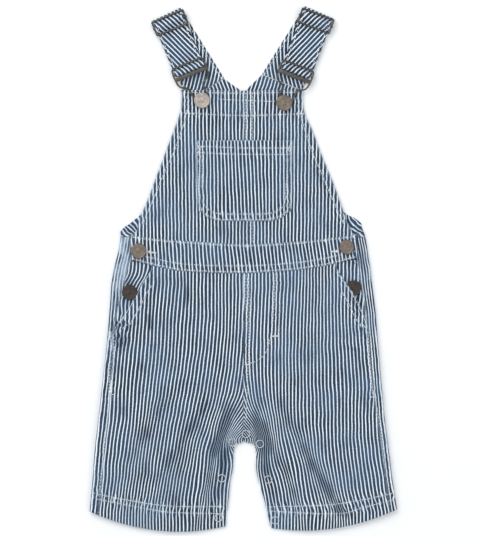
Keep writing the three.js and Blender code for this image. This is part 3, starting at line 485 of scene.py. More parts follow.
# Number of white lines from one of them, at each height (first column) and each x, because
# the legs' cloth is cut past the centre at the crotch and gathers along the inner thighs
GRAIN_X = {
    "right": (-145.5, -115.5, -91.5, -67.5, -43.5, -27.5, -17.5, -9.5, -1.5),
    "left": (1.5, 10.5, 19.5, 32.5, 56.5, 80.5, 104.5, 128.5, 146.5),
}
GRAIN = {
    "right": [
        (-15, -24.5, -16.5, -10.4, -4.0, 2.9, 7.3, 10.2, 12.4, 14.6),
        (-51, -24.2, -16.3, -9.7, -3.2, 3.0, 7.3, 10.2, 12.6, 14.9),
        (-87, -23.4, -15.3, -9.1, -2.6, 3.8, 8.1, 10.9, 13.2, 15.5),
        (-123, -22.6, -14.4, -8.0, -1.2, 5.2, 9.5, 12.3, 14.5, 16.8),
        (-135, -22.4, -14.2, -7.5, -0.6, 5.8, 10.3, 13.4, 15.9, 18.2),
        (-147, -22.2, -14.0, -7.0, -0.1, 6.6, 11.4, 14.8, 17.8, 20.3),
        (-159, -21.8, -13.6, -6.4, 0.5, 7.6, 12.7, 16.6, 20.5, 23.5),
        (-171, -21.3, -13.0, -5.9, 1.1, 8.9, 13.9, 18.6, 23.8, 27.2),
        (-183, -21.0, -12.6, -5.4, 1.8, 9.8, 15.0, 18.4, 21.4, 24.5),
        (-195, -20.8, -12.1, -4.9, 2.6, 10.3, 15.3, 18.3, 20.7, 23.1),
        (-207, -20.6, -11.8, -4.4, 3.5, 10.8, 15.7, 18.7, 21.1, 23.5),
        (-219, -20.3, -11.3, -3.7, 4.2, 11.2, 16.2, 19.3, 21.7, 24.0),
        (-243, -19.6, -10.4, -2.4, 5.0, 11.9, 16.7, 19.9, 22.3, 24.7),
    ],
    "left": [
        (-15, -21.9, -19.4, -16.9, -13.3, -6.6, 1.0, 7.9, 14.6, 19.4),
        (-51, -21.5, -19.0, -16.5, -12.9, -6.1, 1.0, 8.0, 14.7, 19.6),
        (-87, -21.3, -18.7, -16.3, -12.7, -5.8, 0.9, 7.4, 14.1, 19.2),
        (-111, -21.6, -18.9, -16.4, -12.8, -5.9, 0.8, 7.0, 13.5, 18.6),
        (-123, -22.2, -19.3, -16.6, -12.9, -6.0, 0.6, 6.9, 13.5, 18.6),
        (-135, -23.4, -20.1, -17.1, -13.1, -6.1, 0.4, 6.9, 13.7, 18.7),
        (-147, -25.5, -22.2, -18.3, -13.5, -6.3, 0.3, 7.0, 13.8, 18.7),
        (-159, -28.7, -25.1, -19.8, -14.0, -6.7, 0.3, 6.9, 13.7, 18.6),
        (-171, -32.2, -28.2, -21.6, -14.6, -7.5, 0.0, 6.8, 13.5, 18.4),
        (-183, -29.8, -25.4, -21.0, -15.3, -8.2, -0.4, 6.5, 13.1, 18.0),
        (-195, -28.4, -24.4, -20.9, -16.1, -9.2, -1.0, 6.1, 12.7, 17.5),
        (-207, -28.2, -24.6, -21.3, -17.2, -9.9, -1.9, 5.6, 12.2, 17.0),
        (-219, -29.0, -25.4, -22.2, -18.2, -10.7, -2.9, 5.1, 11.7, 16.6),
        (-231, -29.6, -26.0, -22.9, -18.9, -11.4, -4.0, 4.2, 11.0, 16.0),
        (-243, -30.4, -26.8, -23.4, -19.7, -12.1, -5.0, 3.1, 10.1, 15.4),
    ],
}
GRAIN_PITCH = 3.7
# Folds along which the stripes crowd: side, x1, y1, x2, y2, half-width, lines drawn in
CROWDED = [
    ("left", 28, -128, 98, -246, 6.6, 0.7),
    ("left", 36, -182, 54, -238, 4.2, 0.5),
    ("right", -22, -160, -38, -226, 4.0, 0.9),
    ("right", -86, -124, -110, -196, 7.0, 0.4),
]

LIE = 2.1
CENTRE_LEVEL, THIGH_LEVEL, SIDE_LEVEL = 2.7, 3.6, 5.05
BIB_EDGE_LEVEL, BIB_LEVEL = 2.5, 3.1
BAND_RAISE, LAYER = 0.45, 1.55
SEAM_GAP = 0.3
HALF_WALL = 0.6


def shift_of_frame():
    """The CAD part is centred on its box; a button tells how far that moved the plan."""
    low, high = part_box("bib_button_right")
    x, y = BUTTON_PLACE["right"]
    return (low[0] + high[0]) / 2 - x * MM, (low[1] + high[1]) / 2 - y * MM


SHIFT = shift_of_frame()


def smooth(value, low, high):
    t = np.clip((value - low) / (high - low), 0.0, 1.0)
    return t * t * (3 - 2 * t)


def lerp(a, b, t):
    return a + (b - a) * t


def curve(table, column, at):
    """A table's column at any places of its first column, on a smooth curve."""
    rows = np.array(sorted(table, key=lambda row: row[0]), float)
    keys, values = rows[:, 0], rows[:, column]
    before = np.maximum(np.arange(len(keys)) - 1, 0)
    after = np.minimum(np.arange(len(keys)) + 1, len(keys) - 1)
    slopes = (values[after] - values[before]) / (keys[after] - keys[before])
    at = np.clip(at, keys[0], keys[-1])
    k = np.clip(np.searchsorted(keys, at, side="right") - 1, 0, len(keys) - 2)
    span = keys[k + 1] - keys[k]
    t = (at - keys[k]) / span
    p, q = values[k], values[k + 1]
    u, v = slopes[k] * span, slopes[k + 1] * span
    return p + t * (u + t * (3 * (q - p) - 2 * u - v + t * (2 * (p - q) + u + v)))


def straight(table, column, at):
    rows = sorted(table, key=lambda row: row[0])
    return np.interp(at, [r[0] for r in rows], [r[column] for r in rows])


def row_at(table, fraction):
    """Every column of a table at fractions of its length."""
    numbered = [(k, *row) for k, row in enumerate(table)]
    at = np.asarray(fraction, float) * (len(table) - 1)
    return [curve(numbered, c + 1, at) for c in range(len(table[0]))]


def column_of(side):
    return 1 if side == "right" else 2


def by_side(table, x, y):
    """A right and a left column, picked by which side of the centre line a place is on."""
    return np.where(x < 0, curve(table, 1, y), curve(table, 2, y))


def inseam(side, y):
    rows = [(row[1], row[0]) for row in LEG_ROWS[side][7:]]
    return np.where(y > rows[0][0], 0.0, curve(rows, 1, y))


def ridge(fold, x, y):
    x1, y1, x2, y2, half, rise = fold
    dx, dy = x2 - x1, y2 - y1
    t = np.clip(((x - x1) * dx + (y - y1) * dy) / (dx * dx + dy * dy), 0, 1)
    taper = 1 - 0.55 * np.abs(2 * t - 1) ** 2.2
    away = np.hypot(x - (x1 + dx * t), y - (y1 + dy * t))
    return rise * taper * np.exp(-((away / half) ** 2))


def plain_ridge(fold, x, y):
    x1, y1, x2, y2, half, rise = fold
    dx, dy = x2 - x1, y2 - y1
    t = np.clip(((x - x1) * dx + (y - y1) * dy) / (dx * dx + dy * dy), 0, 1)
    return rise * np.exp(-(((x - x1 - dx * t) ** 2 + (y - y1 - dy * t) ** 2) / half**2))


def bump(place, half, rise, x, y):
    return rise * np.exp(-(((x - place[0]) ** 2 + (y - place[1]) ** 2) / half**2))


def front_form(x, y):
    """Middle surface of the front pieces, as in the solids."""
    reach = np.abs(x)
    to_fold = by_side(OUTER_FOLD, x, y) - reach
    to_inseam = reach - np.where(x < 0, inseam("right", y), inseam("left", y))
    seam = lerp(LIE, CENTRE_LEVEL, smooth(y, -185, -150))
    inner = lerp(seam, THIGH_LEVEL, smooth(to_inseam, 0, 42))
    trousers = lerp(SIDE_LEVEL, inner, smooth(to_fold, 6, 62))
    bib_right = curve([(r[2], r[0]) for r in BIB_ROWS], 1, y)
    bib_left = curve([(r[2], r[1]) for r in BIB_ROWS], 1, y)
    edge = np.where(x < 0, bib_right, bib_left) - reach
    bib = lerp(BIB_EDGE_LEVEL, BIB_LEVEL, smooth(edge, 0, 30))
    folds = sum(plain_ridge(fold, x, y) for fold in FOLDS)
    return lerp(trousers, bib, smooth(y, 22, 80)) + folds


def creased(x, y):
    return sum(ridge(crease, x, y) for crease in CREASES)


def front_level(x, y):
    bulge = bump(SIDE_BUTTONS["left"], 15, 3.5, x, y)
    return front_form(x, y) + bulge + creased(x, y) + 0.1 * crumple(x, y)


def facing_level(side, x, y):
    pressed = bump(SIDE_BUTTONS[side], 16, 1.5, x, y)
    return np.maximum(LIE, front_form(x, y) - LAYER - pressed)


def path_of(points, step=1.0):
    """Smooth path through a few points, as places at even distances along it."""
    points = np.array(points, float)
    lengths = np.hypot(*np.diff(points, axis=0).T)
    run = np.concatenate([[0.0], np.cumsum(lengths)])
    fine = np.linspace(0, run[-1], max(int(run[-1] / step), 2) + 1)
    xs = curve(list(zip(run, points[:, 0])), 1, fine)
    ys = curve(list(zip(run, points[:, 1])), 1, fine)
    return np.stack([xs, ys], axis=1), fine


def band_path(edge, inset):
    xs = np.linspace(WAISTBAND[0][0] + 1.6, WAISTBAND[-1][0] - 1.6, 80)
    if edge == "top":
        return np.stack([xs, curve(WAISTBAND, 1, xs) - inset], axis=1)
    return np.stack([xs, curve(WAISTBAND, 2, xs) + inset], axis=1)


def rows_on(piece):
    if piece == "band":
        return [(band_path(edge, inset), pull) for edge, inset, pull in BAND_ROWS]
    return [(path_of(points)[0], pull) for points, pull in ROWS[piece]]


def beside(path, x, y, margin=9.0):
    """Distance from a path, and how far along it, of every place near it."""
    low, high = path.min(axis=0) - margin, path.max(axis=0) + margin
    near = (x > low[0]) & (x < high[0]) & (y > low[1]) & (y < high[1])
    away = np.full(x.shape, 99.0)
    run = np.zeros(x.shape)
    if near.any():
        lengths = np.hypot(*np.diff(path, axis=0).T)
        along = np.concatenate([[0.0], np.cumsum(lengths)])
        gaps = (x[near][:, None] - path[:, 0]) ** 2 + (y[near][:, None] - path[:, 1]) ** 2
        nearest = gaps.argmin(axis=1)
        away[near] = np.sqrt(gaps.min(axis=1))
        run[near] = along[nearest]
    return away, run


def sewing(piece, x, y):
    """Puckers, stitch grooves, the stripes' sway and the wear along a piece's sewn rows."""
    rise, sway, worn = np.zeros(x.shape), np.zeros(x.shape), np.zeros(x.shape)
    for k, (path, pull) in enumerate(rows_on(piece)):
        away, run = beside(path, x, y)
        phase = run / 6.6 * 2 * math.pi + 1.7 * np.sin(run / 19 + k) + 0.9 * np.sin(run / 7.3 + 2 * k)
        near = np.exp(-((away / 3.6) ** 2))
        rise += 1.5 * pull * near * np.sin(phase) - 0.2 * np.exp(-((away / 1.3) ** 2))
        sway += 1.3 * pull * np.exp(-((away / 4.4) ** 2)) * np.sin(phase + 1.2)
        rubbed = min(1.0, 5.0 * pull) * (0.45 + 0.42 * np.sin(phase + 0.7))
        worn = np.maximum(worn, np.exp(-((away / 2.4) ** 2)) * rubbed)
    return rise, sway, worn


def edge_wear(distance, width=2.2):
    return 0.7 * np.exp(-((np.maximum(distance, 0) / width) ** 2))


def leg_row(side, fraction, waist=None):
    table = list(LEG_ROWS[side])
    if waist:
        table[0] = waist
    inner, y_inner, y_middle, y_outer = row_at(table, fraction)
    return np.maximum(inner, 0), y_inner, y_middle, y_outer


def leg_row_y(row, reach, fold):
    inner, a, b, c = row
    s = (reach - inner) / (fold - inner)
    return a * (1 - s) * (1 - 2 * s) + 4 * b * s * (1 - s) + c * s * (2 * s - 1)


def front_edge(side, y):
    column = column_of(side)
    slant_end = POCKET_SLANT[-1][0]
    return np.where(y > slant_end, curve(POCKET_SLANT, column, y), curve(SIDE_SEAM, column, y))


def between(columns, values, x):
    """Values given at columns of x, on a smooth curve through them, straight beyond them."""
    columns = np.array(columns, float)
    slopes = np.gradient(values, columns, axis=0)
    k = np.clip(np.searchsorted(columns, x, side="right") - 1, 0, len(columns) - 2)
    place = np.arange(len(x))
    span = columns[k + 1] - columns[k]
    t = (x - columns[k]) / span
    p, q = values[k, place], values[k + 1, place]
    u, v = slopes[k, place] * span, slopes[k + 1, place] * span
    inside = p + t * (u + t * (3 * (q - p) - 2 * u - v + t * (2 * (p - q) + u + v)))
    before, after = p + t * u, q + (t - 1) * v
    return np.where(t < 0, before, np.where(t > 1, after, inside))


def leg_grain(side, x, y):
    """Place across the cloth of each point of a front leg."""
    values = np.array([curve(GRAIN[side], c + 1, y) for c in range(len(GRAIN_X[side]))])
    lines = between(GRAIN_X[side], values, x)
    for name, x1, y1, x2, y2, half, drawn in CROWDED:
        if name != side:
            continue
        dx, dy = x2 - x1, y2 - y1
        length = math.hypot(dx, dy)
        t = ((x - x1) * dx + (y - y1) * dy) / length**2
        beyond = ((y - y1) * dx - (x - x1) * dy) / length
        fade = smooth(t, -0.1, 0.35) * (1 - 0.5 * smooth(t, 0.9, 1.1))
        lines = lines + drawn * fade * np.tanh(beyond / half) * np.exp(-((beyond / (3.4 * half)) ** 2))
    return lines * GRAIN_PITCH


def crumple(x, y, seed=0.0):
    """Small uneven waves of washed cloth, between -1 and 1."""
    total = np.zeros(np.shape(x))
    for k in range(9):
        angle = 2.4 * k + seed
        wave = 2 * math.pi / (8.5 + 2.3 * k)
        total += np.sin(wave * (x * math.cos(angle) + y * math.sin(angle) * 0.7) + 1.7 * k + seed)
    return total / 4.5


def solid_cloth(name, across, down, place, nodes):
    """Sheet of cloth from a grid, set in place by a function of the two fractions of the
    grid, which gives each point's position and its place on the cloth, in millimetres."""
    bm = bmesh.new()
    bmesh.ops.create_grid(bm, x_segments=across, y_segments=down, size=0.5)
    mesh = bpy.data.meshes.new(name)
    bm.to_mesh(mesh)
    bm.free()
    count = len(mesh.vertices)
    flat = np.empty(count * 3)
    mesh.vertices.foreach_get("co", flat)
    flat = flat.reshape(-1, 3)
    u, v = flat[:, 0] + 0.5, 0.5 - flat[:, 1]
    x, y, z, weft, warp, worn = place(u, v)
    tight = sum(bump(spot[:2], spot[2], spot[3], x, y) for spot in PUCKERS) * (z > 2.0)
    pulled = crumple(2.3 * x, 2.3 * y, 1.1)
    weft = weft + 0.9 * tight * pulled
    z = z + 0.25 * tight * crumple(2.0 * x, 2.0 * y, 2.3)
    z = np.maximum(z, wall_of_cloth() * 500 + 0.03)
    worn = worn + 0.5 * tight * np.maximum(pulled, 0)
    placed = np.stack([x * MM + SHIFT[0], y * MM + SHIFT[1], z * MM], axis=1)
    mesh.vertices.foreach_set("co", placed.ravel())
    corners = np.empty(len(mesh.loops), dtype=np.int32)
    mesh.loops.foreach_get("vertex_index", corners)
    layer = mesh.uv_layers.new(name="cloth")
    cut = np.stack([weft[corners] * MM, warp[corners] * MM], axis=1)
    layer.uv.foreach_set("vector", cut.ravel())
    # Painted shade: this attribute darkens the cloth in crease troughs, in the gathers and in pucker
    # troughs, and keeps crease ridges lighter; the crumple term varies it at random
    shade = sum(ridge(gather, x, y) for gather in GATHER_SHADOWS) * (z > 2.0)
    painted_shade_tone = 0.5 + 0.55 * creased(x, y) + 0.15 * crumple(x, y, 0.7) + shade
    painted_shade_tone = painted_shade_tone - 0.45 * tight * np.maximum(-pulled, 0)
    for key, amount in (("worn", worn), ("painted_shade_tone", painted_shade_tone)):
        layer = mesh.attributes.new(key, "FLOAT", "POINT")
        layer.data.foreach_set("value", np.clip(amount, 0, 1).astype(np.float32))
    mesh.update()
    if sum(polygon.normal.z for polygon in mesh.polygons) < 0:
        mesh.flip_normals()
    mesh.shade_smooth()
    piece = bpy.data.objects.new(name, mesh)
    bpy.context.scene.collection.objects.link(piece)
    wall = piece.modifiers.new("wall", "SOLIDIFY")
    wall.thickness = wall_of_cloth()
    wall.offset = 0
    wall.use_even_offset = False
    piece.data.materials.append(cotton())
    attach(piece, "root")
    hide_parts(*nodes)
    return piece


class Value:
    """A shader socket with arithmetic: an expression on values adds its Math nodes."""

    def __init__(self, finish, socket):
        self.finish = finish
        self.socket = socket

    def __add__(self, other):
        return self.finish.math("ADD", self, other)

    def __sub__(self, other):
        return self.finish.math("SUBTRACT", self, other)

    def __rsub__(self, other):
        return self.finish.math("SUBTRACT", other, self)

    def __mul__(self, other):
        return self.finish.math("MULTIPLY", self, other)

    def __truediv__(self, other):
        return self.finish.math("DIVIDE", self, other)

    def __rtruediv__(self, other):
        return self.finish.math("DIVIDE", other, self)

    def __pow__(self, other):
        return self.finish.math("POWER", self, other)

    __radd__ = __add__
    __rmul__ = __mul__


class Finish:
    """A material with one shader, built from values and nodes."""

    def __init__(self, name, **shader):
        self.material = bpy.data.materials.new(name)
        self.material.use_nodes = True
        self.tree = self.material.node_tree
        self.tree.nodes.clear()
        self.shader = self.node("ShaderNodeBsdfPrincipled", {}, shader)
        output = self.node("ShaderNodeOutputMaterial", {}, {})
        self.tree.links.new(self.shader.outputs["BSDF"], output.inputs["Surface"])

    def feed(self, socket, value):
        if isinstance(value, Value):
            self.tree.links.new(value.socket, socket)
        elif isinstance(value, bpy.types.NodeSocket):
            self.tree.links.new(value, socket)
        else:
            socket.default_value = value

    def node(self, kind, settings, values):
        node = self.tree.nodes.new(kind)
        for key, value in settings.items():
            if key == "stops":
                self.set_stops(node.color_ramp, value)
            else:
                setattr(node, key, value)
        for key, value in values.items():
            self.feed(node.inputs[key], value)
        return node

    def set_stops(self, ramp, stops):
        while len(ramp.elements) > 1:
            ramp.elements.remove(ramp.elements[-1])
        for k, (position, colour) in enumerate(stops):
            element = ramp.elements[0] if k == 0 else ramp.elements.new(position)
            element.position = position
            element.color = colour

    def math(self, operation, *values):
        node = self.node("ShaderNodeMath", {"operation": operation}, dict(enumerate(values)))
        return Value(self, node.outputs[0])

    def blend(self, amount, first, second, mode="MIX"):
        node = self.tree.nodes.new("ShaderNodeMix")
        node.data_type = "RGBA"
        node.blend_type = mode
        self.feed(node.inputs["Factor"], amount)
        self.feed([s for s in node.inputs if s.name == "A" and s.type == "RGBA"][0], first)
        self.feed([s for s in node.inputs if s.name == "B" and s.type == "RGBA"][0], second)
        return [s for s in node.outputs if s.type == "RGBA"][0]

    def step(self, value, low, high):
        node = self.node(
            "ShaderNodeMapRange",
            {"interpolation_type": "SMOOTHSTEP"},
            {"Value": value, "From Min": low, "From Max": high},
        )
        return Value(self, node.outputs["Result"])

    def noise(self, place, scale, detail=2.0):
        node = self.node(
            "ShaderNodeTexNoise", {}, {"Vector": place, "Scale": scale, "Detail": detail}
        )
        return Value(self, node.outputs["Fac"])

    def stretched(self, place, scale):
        node = self.node("ShaderNodeMapping", {}, {"Vector": place, "Scale": scale})
        return node.outputs["Vector"]

    def set(self, socket, value):
        self.feed(self.shader.inputs[socket], value)

    def relief(self, height, distance, strength=1.0):
        node = self.node(
            "ShaderNodeBump", {}, {"Height": height, "Distance": distance, "Strength": strength}
        )
        self.set("Normal", node.outputs["Normal"])


def linear(colour):
    return (*colour, 1.0)


def cotton():
    """Washed cotton twill: white lines on indigo, paler where it is worn, with painted shade in its
    creases, gathers and puckers.
    """
    if "striped cotton" in bpy.data.materials:
        return bpy.data.materials["striped cotton"]
    sizes = bpy.context.scene.overalls_cloth
    f = Finish("striped cotton", Roughness=0.93)
    f.shader.inputs["Specular IOR Level"].default_value = 0.2
    f.shader.inputs["Sheen Weight"].default_value = 0.12
    f.shader.inputs["Sheen Roughness"].default_value = 0.6
    cut = f.node("ShaderNodeUVMap", {"uv_map": "cloth"}, {}).outputs["UV"]
    place = f.node("ShaderNodeTexCoord", {}, {}).outputs["Object"]
    worn = Value(f, f.node("ShaderNodeAttribute", {"attribute_name": "worn"}, {}).outputs["Fac"])
    painted_shade_tone = Value(f, f.node("ShaderNodeAttribute", {"attribute_name": "painted_shade_tone"}, {}).outputs["Fac"])
    axes = f.node("ShaderNodeSeparateXYZ", {}, {"Vector": cut})
    weft = Value(f, axes.outputs["X"])
    warp = Value(f, axes.outputs["Y"])
    sway = f.noise(place, 46.0, 2.0) - 0.5
    fleck = f.noise(f.stretched(cut, (1500.0, 560.0, 1.0)), 1.0, 2.0) - 0.5
    across = weft + sway * 0.0011
    beat = f.math("FRACT", across * (1 / sizes.stripe_pitch))
    off_line = f.math("ABSOLUTE", beat - 0.5) * 2.0
    edge = 1.0 - sizes.white_share
    line = f.step(off_line + fleck * 0.3, edge - 0.07, edge + 0.07)
    fade = f.noise(place, 30.0, 3.0)
    patch = f.noise(place, 9.0, 2.0)
    dark = f.blend(f.step(fade + fleck * 1.2, 0.22, 0.82), linear(sizes.indigo), linear(sizes.faded))
    white = f.blend(f.step(fade, 0.3, 0.75), linear(sizes.white), linear(sizes.white_shade))
    striped = f.blend(line, dark, white)
    chalk = f.step(worn * (f.noise(place, 420.0, 2.0) + 0.45), 0.28, 1.0)
    rubbed = f.blend(chalk * 0.6, striped, linear(sizes.worn))
    # Painted shade: the colour is multiplied towards the shade tint where the tone is low, in crease
    # troughs, gathers and puckers
    painted_shade = 1.0 - f.step(painted_shade_tone + (patch - 0.5) * 0.3, -0.1, 0.62)
    f.set("Base Color", f.blend(painted_shade * 0.95, rubbed, linear(sizes.painted_shade), "MULTIPLY"))
    twill = f.math("SINE", (weft * 0.6 + warp) * (2 * math.pi / 0.0011))
    weave = twill * 0.35 + f.noise(f.stretched(cut, (1500.0, 1500.0, 1.0)), 1.0, 2.0)
    f.relief(weave + line * 0.25, 0.00016, 0.55)
    return f.material


def thread():
    if "white thread" in bpy.data.materials:
        return bpy.data.materials["white thread"]
    sizes = bpy.context.scene.overalls_cloth
    f = Finish("white thread", Roughness=0.85)
    place = f.node("ShaderNodeTexCoord", {}, {}).outputs["Object"]
    shade = f.noise(place, 900.0, 1.0)
    f.set("Base Color", f.blend(shade, linear(sizes.thread), linear(sizes.thread_shade)))
    return f.material


def metal(name, colour, shade, roughness, wear):
    """Matt aged metal: a warm base with paler rubbed places."""
    if name in bpy.data.materials:
        return bpy.data.materials[name]
    f = Finish(name, Metallic=0.85)
    place = f.node("ShaderNodeTexCoord", {}, {}).outputs["Object"]
    blotch = f.noise(place, 420.0, 3.0)
    grit = f.noise(place, 2600.0, 2.0)
    f.set("Base Color", f.blend(f.step(blotch, 0.3, 0.7) * wear, linear(colour), linear(shade)))
    f.set("Roughness", grit * 0.2 + (roughness - 0.1))
    f.relief(grit, 0.00008, 0.5)
    return f.material


def front_leg(side):
    sign = SIGNS[side]

    def place(u, v):
        row = leg_row(side, v)
        fold = curve(OUTER_FOLD, column_of(side), row[3])
        reach = 0.9 * fold
        for _ in range(5):
            reach = front_edge(side, leg_row_y(row, reach, fold)) + 0.15
        out = u if sign > 0 else 1 - u
        far = lerp(row[0] + 0.02, reach, out)
        under = 1 - smooth(v, 0.0, 0.012)
        y = leg_row_y(row, far, fold) + 2.2 * under
        x = sign * far
        rise, sway, worn = sewing(side, x, y)
        to_seam = reach - far
        hem = y - leg_row_y(leg_row(side, np.ones_like(v)), far, fold)
        z = front_level(x, y) + rise - 0.75 * under
        z += 0.25 * smooth(21.5 - hem, 0, 1.2) - 0.5 * np.exp(-((hem / 0.9) ** 2))
        z -= 0.3 * np.exp(-((to_seam / 0.9) ** 2))
        z -= 0.25 * np.exp(-(((far - row[0]) / 1.2) ** 2))
        worn = np.maximum(worn, edge_wear(to_seam))
        worn = np.maximum(worn, edge_wear(hem, 1.6))
        worn = np.maximum(worn, 0.6 * edge_wear(far - row[0]))
        weft = leg_grain(side, x, y) + sway + 0.22 * crumple(x, y) + 0.5 * creased(x, y)
        return x, y, z, weft, -y, worn

    piece = solid_cloth(f"front_leg_{side}_cloth", 112, 200, place, [f"front_leg_{side}"])


def wall_of_cloth():
    return bpy.context.scene.overalls_cloth.thickness


def wrapped(distance, fold, radius):
    """Cloth on the floor as far as an outer fold, and then on the front."""
    flat = fold - radius
    turn = math.pi * radius
    angle = np.clip((distance - flat) / radius, 0, math.pi)
    over = np.maximum(distance - flat - turn, 0)
    reach = np.where(distance < flat, distance, flat + radius * np.sin(angle) - over)
    return reach, HALF_WALL + radius * (1 - np.cos(angle)), angle / math.pi


def back_relief(x, y, on_front):
    return sum(ridge(c, x, y) for c in BACK_CREASES) * (1 - on_front)


def back_leg(side):
    sign = SIGNS[side]
    flat_steps, fold_steps, front_steps = 72, 12, 12

    def place(u, v):
        row = leg_row(side, v, BACK_WAIST)
        fold = curve(OUTER_FOLD, column_of(side), row[3])
        radius = curve(FOLD_RADIUS, 1, row[3])
        flat, turn = fold - radius, math.pi * radius
        edge = flat
        for _ in range(5):
            edge = curve(SIDE_SEAM, column_of(side), leg_row_y(row, edge, fold)) - 1.6
        k = (u if sign > 0 else 1 - u) * (flat_steps + fold_steps + front_steps)
        stops = [0, flat_steps, flat_steps + fold_steps, flat_steps + fold_steps + front_steps]
        start = row[0] + SEAM_GAP / 2
        marks = [start, flat, flat + turn, flat + turn + (flat - edge)]
        distance = np.where(
            k <= stops[1],
            lerp(marks[0], marks[1], k / flat_steps),
            np.where(
                k <= stops[2],
                lerp(marks[1], marks[2], (k - stops[1]) / fold_steps),
                lerp(marks[2], marks[3], (k - stops[2]) / front_steps),
            ),
        )
        reach, z, on_front = wrapped(distance, fold, radius)
        x, y = sign * reach, leg_row_y(row, reach, fold)
        to_edge = marks[3] - distance
        rise, sway, worn = sewing("side_" + side, x, y)
        front = smooth(on_front, 0.8, 1.0)
        z = z + back_relief(x, y, on_front) + rise * front
        z -= 1.1 * (1 - smooth(to_edge, 1.0, 3.2)) * front
        worn = np.maximum(worn * front, 0.8 * edge_wear(to_edge - 1.8))
        # Paler along the hip fold, above y -95, more on the right side than on the left
        hip = smooth(distance, flat - 2, flat + 2) * smooth(y, -95, 8)
        rubbed = (0.75 if side == "right" else 0.35) + 0.35 * crumple(x * 1.6, y * 0.8, 2.0)
        worn = np.maximum(worn, hip * rubbed)
        z += front * (0.2 * hip * crumple(x * 2.2, y * 1.4, 3.0) + 0.8 * creased(x, y))
        weft = sign * distance * 130.0 / fold + sway * front + 0.3 * crumple(x, y, 1.0)
        crowd = 0.22 if side == "right" else 0.5
        weft += sign * front * crowd * (distance - flat - turn) + 0.5 * hip * crumple(x, y, 4.0)
        weft += 0.9 * front * creased(x, y)
        return x, y, z, weft, -y, worn

    count = flat_steps + fold_steps + front_steps
    piece = solid_cloth(
        f"back_leg_{side}_cloth", count, 140, place, [f"back_leg_{side}"]
    )


def back_bib():
    tail_steps, run_steps = 18, 52

    def place(u, v):
        ends = {}
        for side, column in (("right", 1), ("left", 3)):
            rows = []
            for row in BACK_BIB_ROWS:
                y, reach, lies = row[0], row[column], row[column + 1]
                fold = float(curve(OUTER_FOLD, column_of(side), y))
                radius = float(curve(FOLD_RADIUS, 1, y))
                flat, turn = fold - radius, math.pi * radius
                rows.append((reach, flat + turn / 2, 2 * flat + turn - reach)[lies])
            ends[side] = rows
        table = [(row[0], ends["right"][k], ends["left"][k]) for k, row in enumerate(BACK_BIB_ROWS)]
        level, right, left = row_at(table, v)
        k = (u - 0.5) * 2 * (tail_steps + run_steps)
        end = np.where(k < 0, right, left)
        flat_run = end - BIB_TAIL
        k = np.abs(k)
        distance = np.where(
            k <= run_steps, flat_run * k / run_steps, flat_run + BIB_TAIL * (k - run_steps) / tail_steps
        )
        sign = np.where(u < 0.5, -1.0, 1.0)
        fold = by_side(OUTER_FOLD, sign, level)
        radius = curve(FOLD_RADIUS, 1, level)
        reach, z, on_front = wrapped(distance, fold, radius)
        x = sign * reach
        lift = straight(NECKLINE, 1, x) - SEAM_GAP - NECK_BASE
        y = level + smooth(level, NECK_START, NECK_BASE) * lift
        z = z + back_relief(x, y, on_front)
        worn = edge_wear(end - distance)
        worn = np.maximum(0.7 * worn, 0.6 * edge_wear(np.where(v > 0.9, (1 - v) * 130, 99)))
        corner = smooth(distance, 100, 111) * smooth(-y, -60, -50)
        turned_weft = 0.68 * (x - sign * 104) + 0.78 * (y - 46) + sign * 104
        neck = 0.32 * (y - 168) * smooth(y, 164, 182)
        straight_weft = x - sign * neck + 0.3 * crumple(x, y, 5.0)
        turned_weft = turned_weft + 0.7 * crumple(x * 2, y * 2, 5.0)
        weft = lerp(straight_weft, turned_weft, corner)
        worn = np.maximum(worn, 0.5 * corner * (1 - smooth(y, 34, 42)))
        z += 0.35 * corner * on_front * crumple(x * 2, y * 2, 6.0)
        return x, y, z, weft, -y, worn

    piece = solid_cloth(
        "back_bib_cloth", 2 * (tail_steps + run_steps), 96, place, ["back_bib"]
    )


def pocket_facing(side):
    sign = SIGNS[side]
    column = column_of(side)

    def place(u, v):
        top = straight(WAISTBAND, 2, np.full_like(v, sign * 106.0)) - SEAM_GAP
        y = lerp(top, -61.0, v)
        outer = curve(SIDE_SEAM, column, y) - SEAM_GAP / 2
        inner = np.minimum(curve(POCKET_SLANT, column, y), outer) - 11.0
        inward = 1 - u if sign > 0 else u
        x = sign * lerp(outer, inner, inward)
        dip = np.where(v < 1e-6, y - (straight(WAISTBAND, 2, x) - SEAM_GAP), 0.0)
        y = y - np.maximum(dip, 0.0)
        folds = 0.3 * np.sin((x * 0.9 + y * 0.5) / 3.1) * smooth(-y, -4, 30)
        if side == "right":
            weft = x - 15.0 * smooth(y, -34, 1) + 0.5 * crumple(x, y, 1.5)
        else:
            weft = x - 0.06 * y + 0.6 * np.sin(y / 9.0) + 0.3 * crumple(x, y, 1.5)
        worn = edge_wear(sign * (sign * outer - x), 2.6)
        z = facing_level(side, x, y) + folds * 0.5
        return x, y, z, weft, -y, worn

    piece = solid_cloth(
        f"pocket_facing_{side}_cloth", 30, 56, place, [f"pocket_facing_{side}"]
    )


